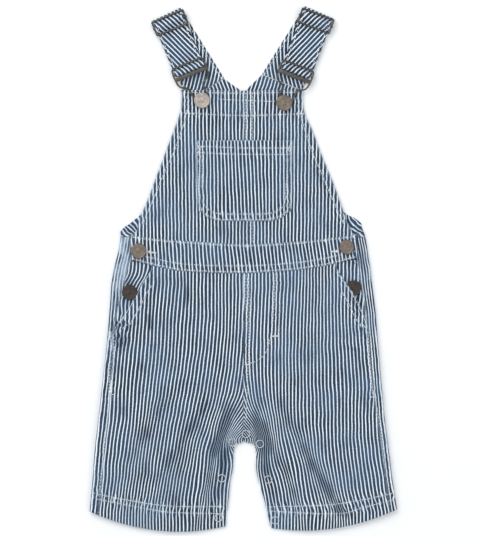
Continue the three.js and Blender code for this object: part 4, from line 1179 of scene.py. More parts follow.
def bib_half(side):
    sign = SIGNS[side]

    def place(u, v):
        row = row_at(BIB_ROWS, v)
        edge = row[0] if side == "right" else row[1]
        out = u if sign > 0 else 1 - u
        far = lerp(0.02, edge, out)
        x = sign * far
        level = lerp(row[3], row[2], out)
        under = smooth(v, 0.982, 1.0)
        floor = curve(WAISTBAND, 1, x) + SEAM_GAP
        y = np.maximum(level, floor + 6.0 * (1 - v)) * (1 - under) + (floor - 2.4) * under
        rise, sway, worn = sewing("bib", x, y)
        to_edge = (edge - far) * 0.93
        to_top = v * 150.0
        z = front_level(x, y) + rise - 0.75 * under
        z += 0.22 * (1 - smooth(to_edge, 5.6, 7.0)) - 0.5 * np.exp(-((to_edge / 1.0) ** 2))
        z += 0.2 * (1 - smooth(to_top, 24, 25.5)) - 0.5 * np.exp(-((to_top / 1.0) ** 2))
        z += 0.28 * np.exp(-(((x - 5.2) / 5.0) ** 4))
        worn = np.maximum(worn, edge_wear(to_edge))
        worn = np.maximum(worn, edge_wear(to_top))
        worn = np.maximum(worn, 0.4 * edge_wear(far))
        weft = x * (1.01 + 0.0002 * (150 - y)) + sway + 0.22 * crumple(x, y, 2.0)
        return x, y, z, weft, -y, worn

    piece = solid_cloth(
        f"bib_front_{side}_cloth", 72, 110, place, [f"bib_front_{side}"]
    )


def bib_pocket():
    def place(u, v):
        y, right, left = row_at(POCKET_ROWS, v)
        x = lerp(-right, left, u)
        rise, sway, worn = sewing("pocket", x, y)
        to_edge = np.minimum(np.minimum(x + right, left - x), y - 48.3)
        to_top = 128.5 - y
        z = front_level(x, y) + LAYER + rise
        z -= 0.5 * np.exp(-((to_edge / 1.0) ** 2)) + 0.4 * np.exp(-((to_top / 0.9) ** 2))
        z += 0.2 * (1 - smooth(to_top, 14, 15.5)) + 0.25 * smooth(to_top, 20, 50) * smooth(to_edge, 6, 26)
        worn = np.maximum(worn, np.maximum(edge_wear(to_edge), edge_wear(to_top, 1.6)))
        weft = x * 1.01 - 0.05 * (90 - y) * np.exp(-((x / 28) ** 2)) + sway + 0.2 * crumple(x, y, 3.0)
        return x, y, z, weft, -y, worn

    piece = solid_cloth("bib_pocket_cloth", 64, 60, place, ["bib_pocket"])


def band_level(x, y):
    return front_form(x, y) + BAND_RAISE + creased(x, y) * 0.5


def waistband():
    def place(u, v):
        x = lerp(WAISTBAND[0][0], WAISTBAND[-1][0], u)
        top, bottom = curve(WAISTBAND, 1, x), curve(WAISTBAND, 2, x)
        y = lerp(top, bottom, v)
        rise, sway, worn = sewing("band", x, y)
        z = band_level(x, y) + rise
        for edge in (top - y, y - bottom):
            z -= 0.45 * np.exp(-((edge / 0.9) ** 2))
            worn = np.maximum(worn, edge_wear(edge, 1.6))
        lean = lerp(0.05, 0.15, smooth(x, -100, 100))
        weft = x * lerp(0.99, 1.04, smooth(x, 0, 90)) - lean * (top - y) + sway + 0.2 * crumple(x, y, 4.0)
        return x, y, z, weft, -y, worn

    piece = solid_cloth("waistband_cloth", 170, 24, place, ["waistband_front"])


def strap_frame(side):
    """Shoulder fold, direction down the strap's front, and its length to the button."""
    fold = np.array(STRAPS[side]["fold"][:2])
    button = np.array(BUTTON_PLACE[side])
    axis = button - fold
    length = float(np.hypot(*axis))
    return fold, axis / length, length


def strap_profile(length):
    """Middle line of a strap's front, as distance from the fold and height."""
    points = []

    def turn(at, level, radius, start, end, steps):
        for k in range(steps + 1):
            angle = math.radians(lerp(start, end, k / steps))
            points.append((at + radius * math.cos(angle), level + radius * math.sin(angle)))

    shoulder = (SHOULDER_LEVEL - HALF_WALL) / 2
    turn(shoulder, HALF_WALL + shoulder, shoulder, 270, 90, 16)
    points.append((SLIDER_TOP + 1.2, SHOULDER_LEVEL + 0.1))
    turn(SLIDER_MIDDLE, SLIDER_LEVEL[1], WIRE_CLEAR, 125, 55, 8)
    points.append((SLIDER_BOTTOM - 2.0, STRAP_LEVEL + 0.2))
    points.append((SLIDER_BOTTOM, STRAP_LEVEL))
    dip = length - BUCKLE_TOP + 1.9
    middle = lerp(SLIDER_BOTTOM, dip, 0.5)
    points.append((middle - 6, STRAP_LEVEL + 0.3))
    points.append((middle + 6, STRAP_LEVEL + 0.3))
    points.append((dip - 2.4, STRAP_LEVEL))
    points.append((dip, STRAP_LEVEL))
    turn(length - BUCKLE_WRAP, BUCKLE_LEVEL, WIRE_CLEAR, 108, -90, 16)
    back = length - BUCKLE_TOP
    points.append((back + 3.4, 2.3))
    points.append((back, RETURN_LEVEL))
    points.append((lerp(back, SLIDER_BOTTOM, 0.5), RETURN_LEVEL))
    points.append((SLIDER_BOTTOM - 1, RETURN_LEVEL))
    points.append((SLIDER_MIDDLE + 2.4, SLIDER_LEVEL[1] - WIRE_CLEAR - 0.5))
    points.append((SLIDER_MIDDLE, SLIDER_LEVEL[1] - WIRE_CLEAR))
    return np.array(points)


def strap_stations(side):
    """Rows of a strap at even distances on the cloth: centre, direction across, half-width,
    height, distance, and whether they are on the front."""
    seam_x, seam_y, seam_half, seam_lean = STRAPS[side]["seam"]
    fold_lean = STRAPS[side]["fold"][2]
    fold, axis, length = strap_frame(side)
    front_lean = math.degrees(math.atan2(axis[0], -axis[1]))
    seam = np.array([seam_x, seam_y])
    seam = seam + (fold - seam) / np.hypot(*(fold - seam)) * SEAM_GAP
    stations = []
    for k in range(7):
        t = k / 7.4
        centre = lerp(seam, fold, t)
        lean, half = lerp(seam_lean, fold_lean, t), lerp(seam_half, STRAP_HALF, t)
        stations.append((*centre, lean, half, HALF_WALL, 0.0))
    profile = strap_profile(length)
    for k, (distance, level) in enumerate(profile):
        t = float(smooth(distance if k > 8 else 0.0, 4, 18))
        centre = fold + axis * distance
        stations.append((*centre, lerp(fold_lean, front_lean, t), STRAP_HALF, level, 1.0))
    stations = np.array(stations)
    steps = np.linalg.norm(np.diff(stations[:, [0, 1, 4]], axis=0), axis=1)
    run = np.concatenate([[0.0], np.cumsum(steps)])
    even = np.linspace(0, run[-1], 361)
    return np.stack([np.interp(even, run, stations[:, c]) for c in range(6)] + [even], axis=1)


def strap(side):
    sign = SIGNS[side]
    stations = strap_stations(side)
    fold_run = stations[:, 6][stations[:, 5] < 0.5][-1]

    def place(u, v):
        k = v * (len(stations) - 1)
        at = [np.interp(k, np.arange(len(stations)), stations[:, c]) for c in range(7)]
        cx, cy, lean, half, level, front, run = at
        t = (u * 2 - 1) * half
        angle = np.radians(lean)
        x, y = cx + t * np.cos(angle), cy + t * np.sin(angle)
        to_edge = half - np.abs(t)
        beat = np.sin(run / 5.7 * 2 * math.pi + 1.1 * np.sin(run / 11) + np.sign(t))
        near = np.exp(-(((to_edge - 2.4) / 2.2) ** 2))
        z = level + 0.2 * near * beat - 0.16 * np.exp(-((to_edge / 0.8) ** 2))
        ahead = run - fold_run
        beta = math.radians(23.0)
        on_front = t * math.cos(beta) + sign * ahead * math.sin(beta)
        down = 250 - y
        lean_run = 0.25 * down - 0.325 * down**2 / 80
        on_back = x + sign * lean_run
        weft = np.where(front > 0.5, on_front, on_back) + 0.3 * near * beat
        worn = np.maximum(0.6 * edge_wear(to_edge, 1.2), 0.25 * near * (0.6 + 0.4 * beat))
        return x, y, z, weft, run, worn

    piece = solid_cloth(f"strap_{side}_cloth", 16, 360, place, [f"strap_{side}"])


def wire(name, loops, bars, radius, material, nodes, extra=None):
    """Closed loops and straight bars of round wire, as one mesh."""
    data = bpy.data.curves.new(name, "CURVE")
    data.dimensions = "3D"
    data.bevel_depth = radius * MM
    data.bevel_resolution = 3
    data.resolution_u = 6
    for points, closed in [(loop, True) for loop in loops] + [(bar, False) for bar in bars]:
        spline = data.splines.new("NURBS" if closed else "POLY")
        spline.points.add(len(points) - 1)
        for point, (x, y, z) in zip(spline.points, points):
            point.co = (x * MM + SHIFT[0], y * MM + SHIFT[1], z * MM, 1.0)
        spline.use_cyclic_u = closed
        if closed:
            spline.order_u = 3
    data.use_fill_caps = True
    bent = bpy.data.objects.new(name, data)
    bpy.context.scene.collection.objects.link(bent)
    bpy.context.view_layer.update()
    mesh = bpy.data.meshes.new_from_object(bent.evaluated_get(bpy.context.evaluated_depsgraph_get()))
    bpy.data.objects.remove(bent)
    bm = bmesh.new()
    bm.from_mesh(mesh)
    if extra:
        extra(bm)
    bmesh.ops.recalc_face_normals(bm, faces=bm.faces)
    return metal_piece(name, bm, material, nodes)


def metal_piece(name, bm, material, nodes):
    mesh = bpy.data.meshes.new(name)
    bm.to_mesh(mesh)
    bm.free()
    mesh.materials.clear()
    mesh.materials.append(material)
    mesh.shade_smooth()
    piece = bpy.data.objects.new(name, mesh)
    bpy.context.scene.collection.objects.link(piece)
    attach(piece, "root")
    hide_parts(*nodes)
    return piece


def turned(points, origin, angle):
    c, s = math.cos(angle), math.sin(angle)
    return [(origin[0] + x * c - y * s, origin[1] + x * s + y * c, z) for x, y, z in points]


def slider(side):
    sizes = bpy.context.scene.overalls_metal
    fold, axis, _ = strap_frame(side)
    origin = fold + axis * SLIDER_MIDDLE
    angle = math.atan2(axis[0], -axis[1])
    half, corner = STRAP_HALF + 1.2, 2.0
    loop = []
    for sx, sy in ((1, -1), (1, 1), (-1, 1), (-1, -1)):
        cuts = [(0, corner), (0, 0.4), (0.4, 0), (corner, 0)]
        if sx * sy < 0:
            cuts.reverse()
        for cx, cy in cuts:
            v = sy * (SLIDER_PITCH - cy)
            level = lerp(SLIDER_LEVEL[0], SLIDER_LEVEL[2], (v / SLIDER_PITCH + 1) / 2)
            loop.append((sx * (half - cx), v, level))
    end = half + 1.5
    bar = [(-end, 0, SLIDER_LEVEL[1]), (end, 0, SLIDER_LEVEL[1])]
    material = metal("dark wire", sizes.wire, sizes.wire_rubbed, 0.42, 0.6)
    wire(
        f"slider_{side}_wire",
        [turned(loop, origin, angle)],
        [turned(bar, origin, angle)],
        sizes.wire_radius * 1000,
        material,
        [f"slider_{side}"],
    )


def buckle(side):
    sizes = bpy.context.scene.overalls_metal
    _, axis, _ = strap_frame(side)
    bx, by = BUTTON_PLACE[side]
    angle = math.atan2(axis[0], -axis[1])
    seat = float(front_form(np.array([bx]), np.array([by]))[0]) + HALF_WALL + SEAM_GAP + 1.15

    def level(v):
        return lerp(seat, BUCKLE_LEVEL, float(smooth(v, 8, 27)))

    right = [(half, v, level(v)) for half, v in BUCKLE_OUTLINE]
    left = [(-half, v, level(v)) for half, v in BUCKLE_OUTLINE[1:-1]][::-1]
    half = STRAP_HALF + 1.8
    bar = [(-half, BUCKLE_WRAP, BUCKLE_LEVEL), (half, BUCKLE_WRAP, BUCKLE_LEVEL)]

    def plate(bm):
        made = bmesh.ops.create_cube(bm, size=1.0)
        verts = made["verts"]
        bmesh.ops.scale(bm, vec=((2 * half + 1.0) * MM, 4.0 * MM, 1.5 * MM), verts=verts)
        edges = list({e for v in verts for e in v.link_edges})
        rounded = bmesh.ops.bevel(
            bm, geom=edges, offset=0.45 * MM, segments=3, profile=0.5, affect="EDGES", material=-1
        )
        verts = list({v for f in rounded["faces"] for v in f.verts})
        verts = [v for v in bm.verts if abs(v.co.x) < 0.03 and abs(v.co.y) < 0.003 and abs(v.co.z) < 0.001]
        spot = turned([(0, BUCKLE_PLATE, BUCKLE_LEVEL)], (bx, by), angle)[0]
        bmesh.ops.rotate(bm, cent=(0, 0, 0), matrix=Matrix.Rotation(angle, 3, "Z"), verts=verts)
        move = Vector((spot[0] * MM + SHIFT[0], spot[1] * MM + SHIFT[1], spot[2] * MM))
        bmesh.ops.translate(bm, vec=move, verts=verts)

    material = metal("dark wire", sizes.wire, sizes.wire_rubbed, 0.42, 0.6)
    wire(
        f"buckle_{side}_wire",
        [turned(right + left, (bx, by), angle)],
        [turned(bar, (bx, by), angle)],
        sizes.wire_radius * 1000,
        material,
        [f"buckle_{side}"],
        plate,
    )


def button(name, node, x, y, radius, colour, rubbed, foot, top):
    """Turned tack button: stem, rim, and a bare dished face with fine turned rings."""
    bm = bmesh.new()
    profile = [
        (0.0, foot),
        (2.7, foot),
        (2.6, top - 2.2),
        (radius - 1.2, top - 2.3),
        (radius - 0.35, top - 2.0),
        (radius, top - 1.35),
        (radius - 0.05, top - 0.8),
        (radius - 0.45, top - 0.3),
        (radius - 0.95, top - 0.1),
        (radius - 1.35, top - 0.22),
        (radius - 1.65, top - 0.42),
        (radius - 2.3, top - 0.38),
        (radius - 2.7, top - 0.25),
        (radius - 3.1, top - 0.36),
        (radius - 4.6, top - 0.2),
        (radius - 5.0, top - 0.3),
        (radius - 5.4, top - 0.16),
        (1.0, top - 0.05),
        (0.0, top - 0.03),
    ]
    verts = [bm.verts.new((r * MM, 0, z * MM)) for r, z in profile]
    edges = [bm.edges.new(pair) for pair in zip(verts, verts[1:])]
    bmesh.ops.spin(
        bm,
        geom=verts + edges,
        cent=(0, 0, 0),
        axis=(0, 0, 1),
        angle=2 * math.pi,
        steps=48,
        use_merge=True,
        use_normal_flip=False,
        use_duplicate=False,
    )
    bmesh.ops.remove_doubles(bm, verts=bm.verts, dist=1e-6)
    bmesh.ops.recalc_face_normals(bm, faces=bm.faces)
    bmesh.ops.translate(bm, vec=(x * MM + SHIFT[0], y * MM + SHIFT[1], 0), verts=bm.verts)
    material = metal(name + " metal", colour, rubbed, 0.5, 0.8)
    return metal_piece(name + "_cap", bm, material, [node])


def snap_ring(node):
    low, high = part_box(node)
    centre = [(a + b) / 2 for a, b in zip(low, high)]
    bm = bmesh.new()
    made = bmesh.ops.create_circle(bm, cap_ends=False, segments=8, radius=0.45 * MM)
    verts = made["verts"]
    bmesh.ops.rotate(bm, cent=(0, 0, 0), matrix=Matrix.Rotation(math.pi / 2, 3, "X"), verts=verts)
    bmesh.ops.translate(bm, vec=(3.7 * MM, 0, 0), verts=verts)
    edges = list(bm.edges)
    bmesh.ops.spin(
        bm, geom=verts + edges, cent=(0, 0, 0), axis=(0, 0, 1), angle=2 * math.pi, steps=28, use_merge=True
    )
    bmesh.ops.remove_doubles(bm, verts=bm.verts, dist=1e-7)
    bmesh.ops.recalc_face_normals(bm, faces=bm.faces)
    bmesh.ops.translate(bm, vec=(centre[0], centre[1], low[2] - 0.1 * MM), verts=bm.verts)
    sizes = bpy.context.scene.overalls_metal
    material = metal("snap ring", sizes.snap, sizes.snap, 0.6, 0.5)
    metal_piece(node + "_ring", bm, material, [node])


SURFACES = {
    "bib": lambda x, y: front_level(x, y) + sewing("bib", x, y)[0] + bib_hems(x, y),
    "pocket": lambda x, y: front_level(x, y) + LAYER + sewing("pocket", x, y)[0] + 0.15,
    "band": lambda x, y: band_level(x, y) + sewing("band", x, y)[0],
    "right": lambda x, y: leg_surface("right", x, y),
    "left": lambda x, y: leg_surface("left", x, y),
    "side_right": lambda x, y: side_surface("right", x, y),
    "side_left": lambda x, y: side_surface("left", x, y),
}


def bib_hems(x, y):
    return 0.2 * (1 - smooth(177.5 - y, 24, 25.5)) + 0.28 * np.exp(-(((x - 5.2) / 5.0) ** 4))


def side_surface(side, x, y):
    radius = curve(FOLD_RADIUS, 1, y)
    return HALF_WALL + 2 * radius + sewing("side_" + side, x, y)[0]


def leg_surface(side, x, y):
    """Upper cloth of a leg at any place: the front leg, or the back leg that comes round."""
    front = front_level(x, y) + sewing(side, x, y)[0] + 0.25 * smooth(-220 - y, 0, 3)
    beyond = np.abs(x) > front_edge(side, y)
    return np.where(beyond, side_surface(side, x, y), front)


def sew(bm, points, sizes, flat=1.0):
    """Stitches along a path of points on the cloth."""
    lengths = np.linalg.norm(np.diff(points, axis=0), axis=1)
    run = np.concatenate([[0.0], np.cumsum(lengths)])
    pitch = sizes.stitch_pitch * 1000
    count = max(int(run[-1] / pitch), 1)
    pitch = run[-1] / count

    def at(distance):
        return Vector([np.interp(distance, run, points[:, c]) for c in range(3)])

    row = bmesh.new()
    for k in range(count):
        start, end = at(k * pitch + 0.2), at((k + 1) * pitch - 0.25)
        middle = (start + end) / 2
        place_stitch(row, middle, end - start, sizes.stitch_width * 1000, flat)
    mesh = bpy.data.meshes.new("row")
    row.to_mesh(mesh)
    row.free()
    bm.from_mesh(mesh)
    bpy.data.meshes.remove(mesh)


def place_stitch(bm, middle, along, width, flat=1.0):
    along_axis = along.normalized()
    side = Vector((0, 0, 1)).cross(along_axis).normalized()
    up = along_axis.cross(side)
    size = Matrix.Diagonal((along.length / 2 * MM, width / 2 * MM, flat * width / 2 * MM, 1))
    turn = Matrix((along_axis, side, up)).transposed().to_4x4()
    spot = Matrix.Translation(
        (middle.x * MM + SHIFT[0], middle.y * MM + SHIFT[1], middle.z * MM)
    )
    bmesh.ops.create_uvsphere(bm, u_segments=6, v_segments=5, radius=1.0, matrix=spot @ turn @ size)


def on_cloth(piece, path):
    """A plan path lifted on to the upper face of a piece."""
    level = SURFACES[piece](path[:, 0], path[:, 1]) + wall_of_cloth() * 500 + 0.12
    return np.column_stack([path, level])


def sewn_piece(name, bm):
    mesh = bpy.data.meshes.new(name)
    bm.to_mesh(mesh)
    bm.free()
    mesh.materials.append(thread())
    mesh.shade_smooth()
    piece = bpy.data.objects.new(name, mesh)
    bpy.context.scene.collection.objects.link(piece)
    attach(piece, "root")
    return piece


def stitch_rows(piece):
    sizes = bpy.context.scene.overalls_cloth
    bm = bmesh.new()
    for path, _ in rows_on(piece):
        sew(bm, on_cloth(piece, path), sizes)
    sewn_piece(f"stitches_{piece}", bm)


def back_rows():
    """Rows on the back: hems, centre seam, waist seam, and the back bib's edges."""
    paths = []
    for side, sign in SIGNS.items():
        table = LEG_ROWS[side][-1]
        reach = np.linspace(table[0] + 1.5, 149.0, 60)
        hem = leg_row_y(leg_row(side, np.ones(60)), reach, 153.5)
        paths += [np.column_stack([sign * reach, hem + inset]) for inset in (14.5, 20.5)]
        edge = [(sign * (row[1 if sign < 0 else 3] - 6), row[0]) for row in BACK_BIB_ROWS[4:-1]]
        paths.append(path_of(edge)[0])
    for points in (
        [(1.9, 28), (1.9, -60), (1.9, -164)],
        [(7.6, 28), (7.6, -60), (7.6, -160)],
        [(-117, 29), (0, 29.4), (117, 29)],
        [(-104, 35.2), (0, 35.2), (104, 35.2)],
        [(-50, 167), (-19.5, 186), (0, 173.4), (18.5, 190), (53, 175)],
    ):
        paths.append(path_of(points)[0])
    return paths


def back_stitches():
    sizes = bpy.context.scene.overalls_cloth
    bm = bmesh.new()
    for path in back_rows():
        x, y = path[:, 0], path[:, 1]
        level = HALF_WALL + back_relief(x, y, 0.0) - wall_of_cloth() * 500 + 0.06
        sew(bm, np.column_stack([path, level]), sizes, 0.3)
    sewn_piece("stitches_back", bm)


def strap_stitches(side):
    sizes = bpy.context.scene.overalls_cloth
    stations = strap_stations(side)
    bm = bmesh.new()
    half_wall = wall_of_cloth() * 500 + 0.08
    for sign in (-1, 1):
        centres = stations[:, :2]
        angle = np.radians(stations[:, 2])
        t = sign * (stations[:, 3] - 2.3)
        xy = centres + np.column_stack([t * np.cos(angle), t * np.sin(angle)])
        chosen = stations[:, 5] < 0.5
        sew(bm, np.column_stack([xy, stations[:, 4] + half_wall])[chosen], sizes)
        heights = stations[:, 4]
        top = (stations[:, 5] > 0.5) & (heights > STRAP_LEVEL - 0.7)
        first = int(np.argmax(stations[:, 5] > 0.5))
        rising = np.arange(len(stations))
        fold, axis, length = strap_frame(side)
        ahead = (stations[:, :2] - fold) @ axis
        front = top & (rising > first) & (ahead > 3.4) & (ahead < length - BUCKLE_WRAP + 1.0)
        upper = front & (np.gradient(ahead) > 0)
        sew(bm, np.column_stack([xy, heights + half_wall])[upper], sizes)
    sewn_piece(f"stitches_strap_{side}", bm)


def tacks():
    bm = bmesh.new()
    for piece, x, y, length, angle, width in TACKS:
        direction = np.array([math.cos(math.radians(angle)), math.sin(math.radians(angle))])
        count = max(int(length / 0.55), 3)
        across = np.array([-direction[1], direction[0]])
        for k in range(count):
            centre = np.array([x, y]) + direction * ((k + 0.5) / count - 0.5) * length
            ends = np.array([centre - across * width / 2, centre + across * width / 2])
            points = on_cloth(piece, ends)
            start, end = Vector(points[0]), Vector(points[1])
            place_stitch(bm, (start + end) / 2 + Vector((0, 0, 0.1)), end - start, 0.6)
    sewn_piece("bar_tacks", bm)


class OverallsCloth(bpy.types.PropertyGroup):
    thickness: bpy.props.FloatProperty(
        name="Cloth thickness", description="Thickness of the cloth", default=0.0011, unit="LENGTH"
    )
    stripe_pitch: bpy.props.FloatProperty(
        name="Stripe pitch",
        description="Distance from one white line to the next",
        default=0.0037,
        unit="LENGTH",
    )
    white_share: bpy.props.FloatProperty(
        name="White share",
        description="Part of the pitch that a white line takes",
        default=0.30,
        subtype="FACTOR",
    )
    indigo: bpy.props.FloatVectorProperty(
        name="Indigo",
        description="Darkest colour of the blue stripes",
        default=(0.0145, 0.026, 0.050),
        subtype="COLOR",
    )
    faded: bpy.props.FloatVectorProperty(
        name="Faded indigo",
        description="Paler colour of the blue stripes",
        default=(0.053, 0.091, 0.153),
        subtype="COLOR",
    )
    white: bpy.props.FloatVectorProperty(
        name="White", description="Colour of the white lines", default=(0.87, 0.95, 1.0), subtype="COLOR"
    )
    white_shade: bpy.props.FloatVectorProperty(
        name="White shade",
        description="Greyer colour of the white lines",
        default=(0.65, 0.76, 0.88),
        subtype="COLOR",
    )
    # Colour of the painted shade in creases, gathers and puckers
    painted_shade: bpy.props.FloatVectorProperty(
        name="Hollows",
        description="Tint of the hollows, where the dye has kept its depth",
        default=(0.32, 0.37, 0.44),
        subtype="COLOR",
    )
    worn: bpy.props.FloatVectorProperty(
        name="Worn cloth",
        description="Colour of rubbed edges and seams",
        default=(0.50, 0.60, 0.72),
        subtype="COLOR",
    )
    thread: bpy.props.FloatVectorProperty(
        name="Thread", description="Colour of the stitches", default=(0.86, 0.86, 0.84), subtype="COLOR"
    )
    thread_shade: bpy.props.FloatVectorProperty(
        name="Thread shade",
        description="Darker colour of the stitches",
        default=(0.66, 0.67, 0.68),
        subtype="COLOR",
    )
    stitch_pitch: bpy.props.FloatProperty(
        name="Stitch pitch", description="Length of one stitch", default=0.0031, unit="LENGTH"
    )
    stitch_width: bpy.props.FloatProperty(
        name="Stitch width", description="Thickness of the thread", default=0.0007, unit="LENGTH"
    )


class OverallsMetal(bpy.types.PropertyGroup):
    wire_radius: bpy.props.FloatProperty(
        name="Wire radius", description="Radius of buckle and slider wire", default=0.0009, unit="LENGTH"
    )
    wire: bpy.props.FloatVectorProperty(
        name="Wire", description="Colour of the wire", default=(0.075, 0.068, 0.062), subtype="COLOR"
    )
    wire_rubbed: bpy.props.FloatVectorProperty(
        name="Rubbed wire",
        description="Paler places of the wire",
        default=(0.16, 0.15, 0.14),
        subtype="COLOR",
    )
    bib_button: bpy.props.FloatVectorProperty(
        name="Pale button", description="Right bib button", default=(0.34, 0.295, 0.262), subtype="COLOR"
    )
    button: bpy.props.FloatVectorProperty(
        name="Button", description="Other upper buttons", default=(0.165, 0.135, 0.11), subtype="COLOR"
    )
    side_button: bpy.props.FloatVectorProperty(
        name="Side button",
        description="Buttons in the pockets",
        default=(0.05, 0.042, 0.036),
        subtype="COLOR",
    )
    snap: bpy.props.FloatVectorProperty(
        name="Snap", description="Rings of the snaps", default=(0.62, 0.64, 0.68), subtype="COLOR"
    )


class OverallsStage(bpy.types.PropertyGroup):
    floor: bpy.props.FloatVectorProperty(
        name="Floor", description="Colour of the floor", default=(0.93, 0.93, 0.93), subtype="COLOR"
    )
    sky: bpy.props.FloatProperty(name="Sky", description="Strength of the even light", default=0.74)
    key: bpy.props.FloatProperty(
        name="Key", description="Power of the main light", default=23.0, unit="POWER"
    )
    distance: bpy.props.FloatProperty(
        name="Camera distance", description="Height of the camera", default=2.6, unit="LENGTH"
    )


class AddBackPieces(bpy.types.Operator):
    """Back legs and back bib, which lie on the floor"""

    bl_idname = "overalls.add_back"
    bl_label = "Back pieces"

    def execute(self, context):
        back_bib()
        for side in SIGNS:
            back_leg(side)
        return {"FINISHED"}


class AddPocketFacings(bpy.types.Operator):
    """Side pieces under the slanted pocket edges"""

    bl_idname = "overalls.add_facings"
    bl_label = "Pocket facings"

    def execute(self, context):
        for side in SIGNS:
            pocket_facing(side)
        return {"FINISHED"}


class AddFrontLegs(bpy.types.Operator):
    """Two front legs, which meet at the centre seam"""

    bl_idname = "overalls.add_front_legs"
    bl_label = "Front legs"

    def execute(self, context):
        for side in SIGNS:
            front_leg(side)
        return {"FINISHED"}


class AddBib(bpy.types.Operator):
    """Two halves of the front bib and its pocket"""

    bl_idname = "overalls.add_bib"
    bl_label = "Bib and pocket"

    def execute(self, context):
        for side in SIGNS:
            bib_half(side)
        bib_pocket()
        return {"FINISHED"}


class AddWaistband(bpy.types.Operator):
    """Curved front waistband"""

    bl_idname = "overalls.add_waistband"
    bl_label = "Waistband"

    def execute(self, context):
        waistband()
        return {"FINISHED"}


class AddStraps(bpy.types.Operator):
    """Straps that run through their sliders and buckles"""

    bl_idname = "overalls.add_straps"
    bl_label = "Straps"

    def execute(self, context):
        for side in SIGNS:
            strap(side)
        return {"FINISHED"}


class AddBuckles(bpy.types.Operator):
    """Wire sliders and buckles"""

    bl_idname = "overalls.add_buckles"
    bl_label = "Sliders and buckles"

    def execute(self, context):
        for side in SIGNS:
            slider(side)
            buckle(side)
        return {"FINISHED"}


class AddButtons(bpy.types.Operator):
    """Metal buttons of the bib, the waist and the pockets"""

    bl_idname = "overalls.add_buttons"
    bl_label = "Buttons"

    def execute(self, context):
        sizes = context.scene.overalls_metal
        for side in SIGNS:
            places = {
                f"bib_button_{side}": (*BUTTON_PLACE[side], 8.0),
                f"waist_button_{side}": WAIST_BUTTONS[side],
                f"side_button_{side}": SIDE_BUTTONS[side],
            }
            for node, (x, y, radius) in places.items():
                low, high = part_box(node)
                colour = sizes.side_button if node.startswith("side") else sizes.button
                if node == "bib_button_right":
                    colour = sizes.bib_button
                rubbed = tuple(min(c * 1.6, 1) for c in colour)
                button(node, node, x, y, radius, colour, rubbed, low[2] / MM, high[2] / MM)
        return {"FINISHED"}


class AddSnaps(bpy.types.Operator):
    """Rings of the inseam snaps"""

    bl_idname = "overalls.add_snaps"
    bl_label = "Snap rings"

    def execute(self, context):
        for node in SNAPS:
            snap_ring(node)
        return {"FINISHED"}


class AddStitches(bpy.types.Operator):
    """Sewn rows and bar tacks"""

    bl_idname = "overalls.add_stitches"
    bl_label = "Stitches"

    def execute(self, context):
        for piece in (*ROWS, "band"):
            stitch_rows(piece)
        for side in SIGNS:
            strap_stitches(side)
        back_stitches()
        tacks()
        return {"FINISHED"}


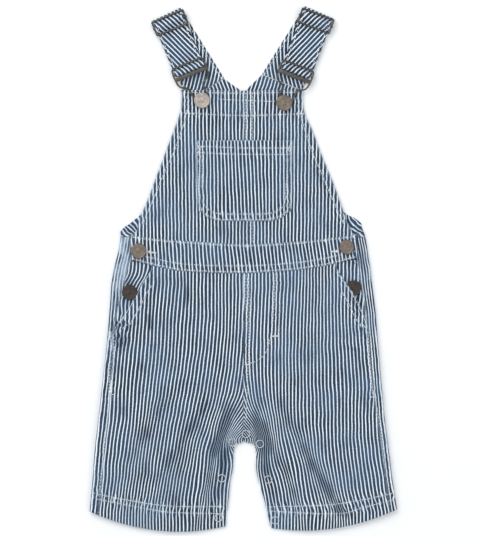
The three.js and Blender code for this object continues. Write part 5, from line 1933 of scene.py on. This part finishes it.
class AddStage(bpy.types.Operator):
    """Pale floor, soft lights and the camera straight above"""

    bl_idname = "overalls.add_stage"
    bl_label = "Floor, light and camera"

    def execute(self, context):
        sizes = context.scene.overalls_stage
        bm = bmesh.new()
        bmesh.ops.create_grid(bm, x_segments=1, y_segments=1, size=3.0)
        mesh = bpy.data.meshes.new("floor")
        bm.to_mesh(mesh)
        bm.free()
        floor = bpy.data.objects.new("floor", mesh)
        floor_finish = Finish("floor", Roughness=0.95)
        floor_finish.set("Base Color", linear(sizes.floor))
        mesh.materials.append(floor_finish.material)
        context.scene.collection.objects.link(floor)

        world = bpy.data.worlds.new("studio")
        world.use_nodes = True
        world.node_tree.nodes["Background"].inputs["Color"].default_value = (0.93, 0.97, 1.0, 1.0)
        world.node_tree.nodes["Background"].inputs["Strength"].default_value = sizes.sky
        context.scene.world = world
        for name, place, power, size in (
            ("key", (-0.9, 1.1, 1.5), sizes.key, 1.7),
            ("fill", (1.1, -0.7, 1.6), sizes.key * 0.3, 1.6),
        ):
            data = bpy.data.lights.new(name, "AREA")
            data.energy = power
            data.size = size
            lamp = bpy.data.objects.new(name, data)
            lamp.location = place
            lamp.rotation_euler = (-Vector(place)).to_track_quat("-Z", "Y").to_euler()
            context.scene.collection.objects.link(lamp)

        data = bpy.data.cameras.new("camera")
        data.sensor_width = SENSOR_WIDTH
        data.lens = SENSOR_WIDTH * sizes.distance / VIEW_HEIGHT
        data.clip_end = 20.0
        camera = bpy.data.objects.new("camera", data)
        camera.location = (SHIFT[0], SHIFT[1] + 1.0 * MM, sizes.distance + 0.004)
        context.scene.collection.objects.link(camera)
        context.scene.camera = camera
        context.scene.view_settings.view_transform = "Standard"
        return {"FINISHED"}


OPERATORS = (
    AddBackPieces,
    AddPocketFacings,
    AddFrontLegs,
    AddBib,
    AddWaistband,
    AddStraps,
    AddBuckles,
    AddButtons,
    AddSnaps,
    AddStitches,
    AddStage,
)


class OverallsPanel(bpy.types.Panel):
    """Sizes and colours of the overalls"""

    bl_idname = "VIEW3D_PT_overalls"
    bl_label = "Bib overalls"
    bl_space_type = "VIEW_3D"
    bl_region_type = "UI"
    bl_category = "Overalls"

    def draw(self, context):
        layout = self.layout
        for group in ("overalls_cloth", "overalls_metal", "overalls_stage"):
            sizes = getattr(context.scene, group)
            box = layout.box()
            for key in sizes.__annotations__:
                box.prop(sizes, key)
        for operator in OPERATORS:
            layout.operator(operator.bl_idname)


GROUPS = (OverallsCloth, OverallsMetal, OverallsStage)


def register():
    for cls in (*GROUPS, *OPERATORS, OverallsPanel):
        bpy.utils.register_class(cls)
    bpy.types.Scene.overalls_cloth = bpy.props.PointerProperty(type=OverallsCloth)
    bpy.types.Scene.overalls_metal = bpy.props.PointerProperty(type=OverallsMetal)
    bpy.types.Scene.overalls_stage = bpy.props.PointerProperty(type=OverallsStage)


def unregister():
    for name in ("overalls_stage", "overalls_metal", "overalls_cloth"):
        delattr(bpy.types.Scene, name)
    for cls in reversed((*GROUPS, *OPERATORS, OverallsPanel)):
        bpy.utils.unregister_class(cls)


def main():
    register()
    for operator in OPERATORS:
        group, name = operator.bl_idname.split(".")
        getattr(getattr(bpy.ops, group), name)()


if __name__ == "__main__":
    main()
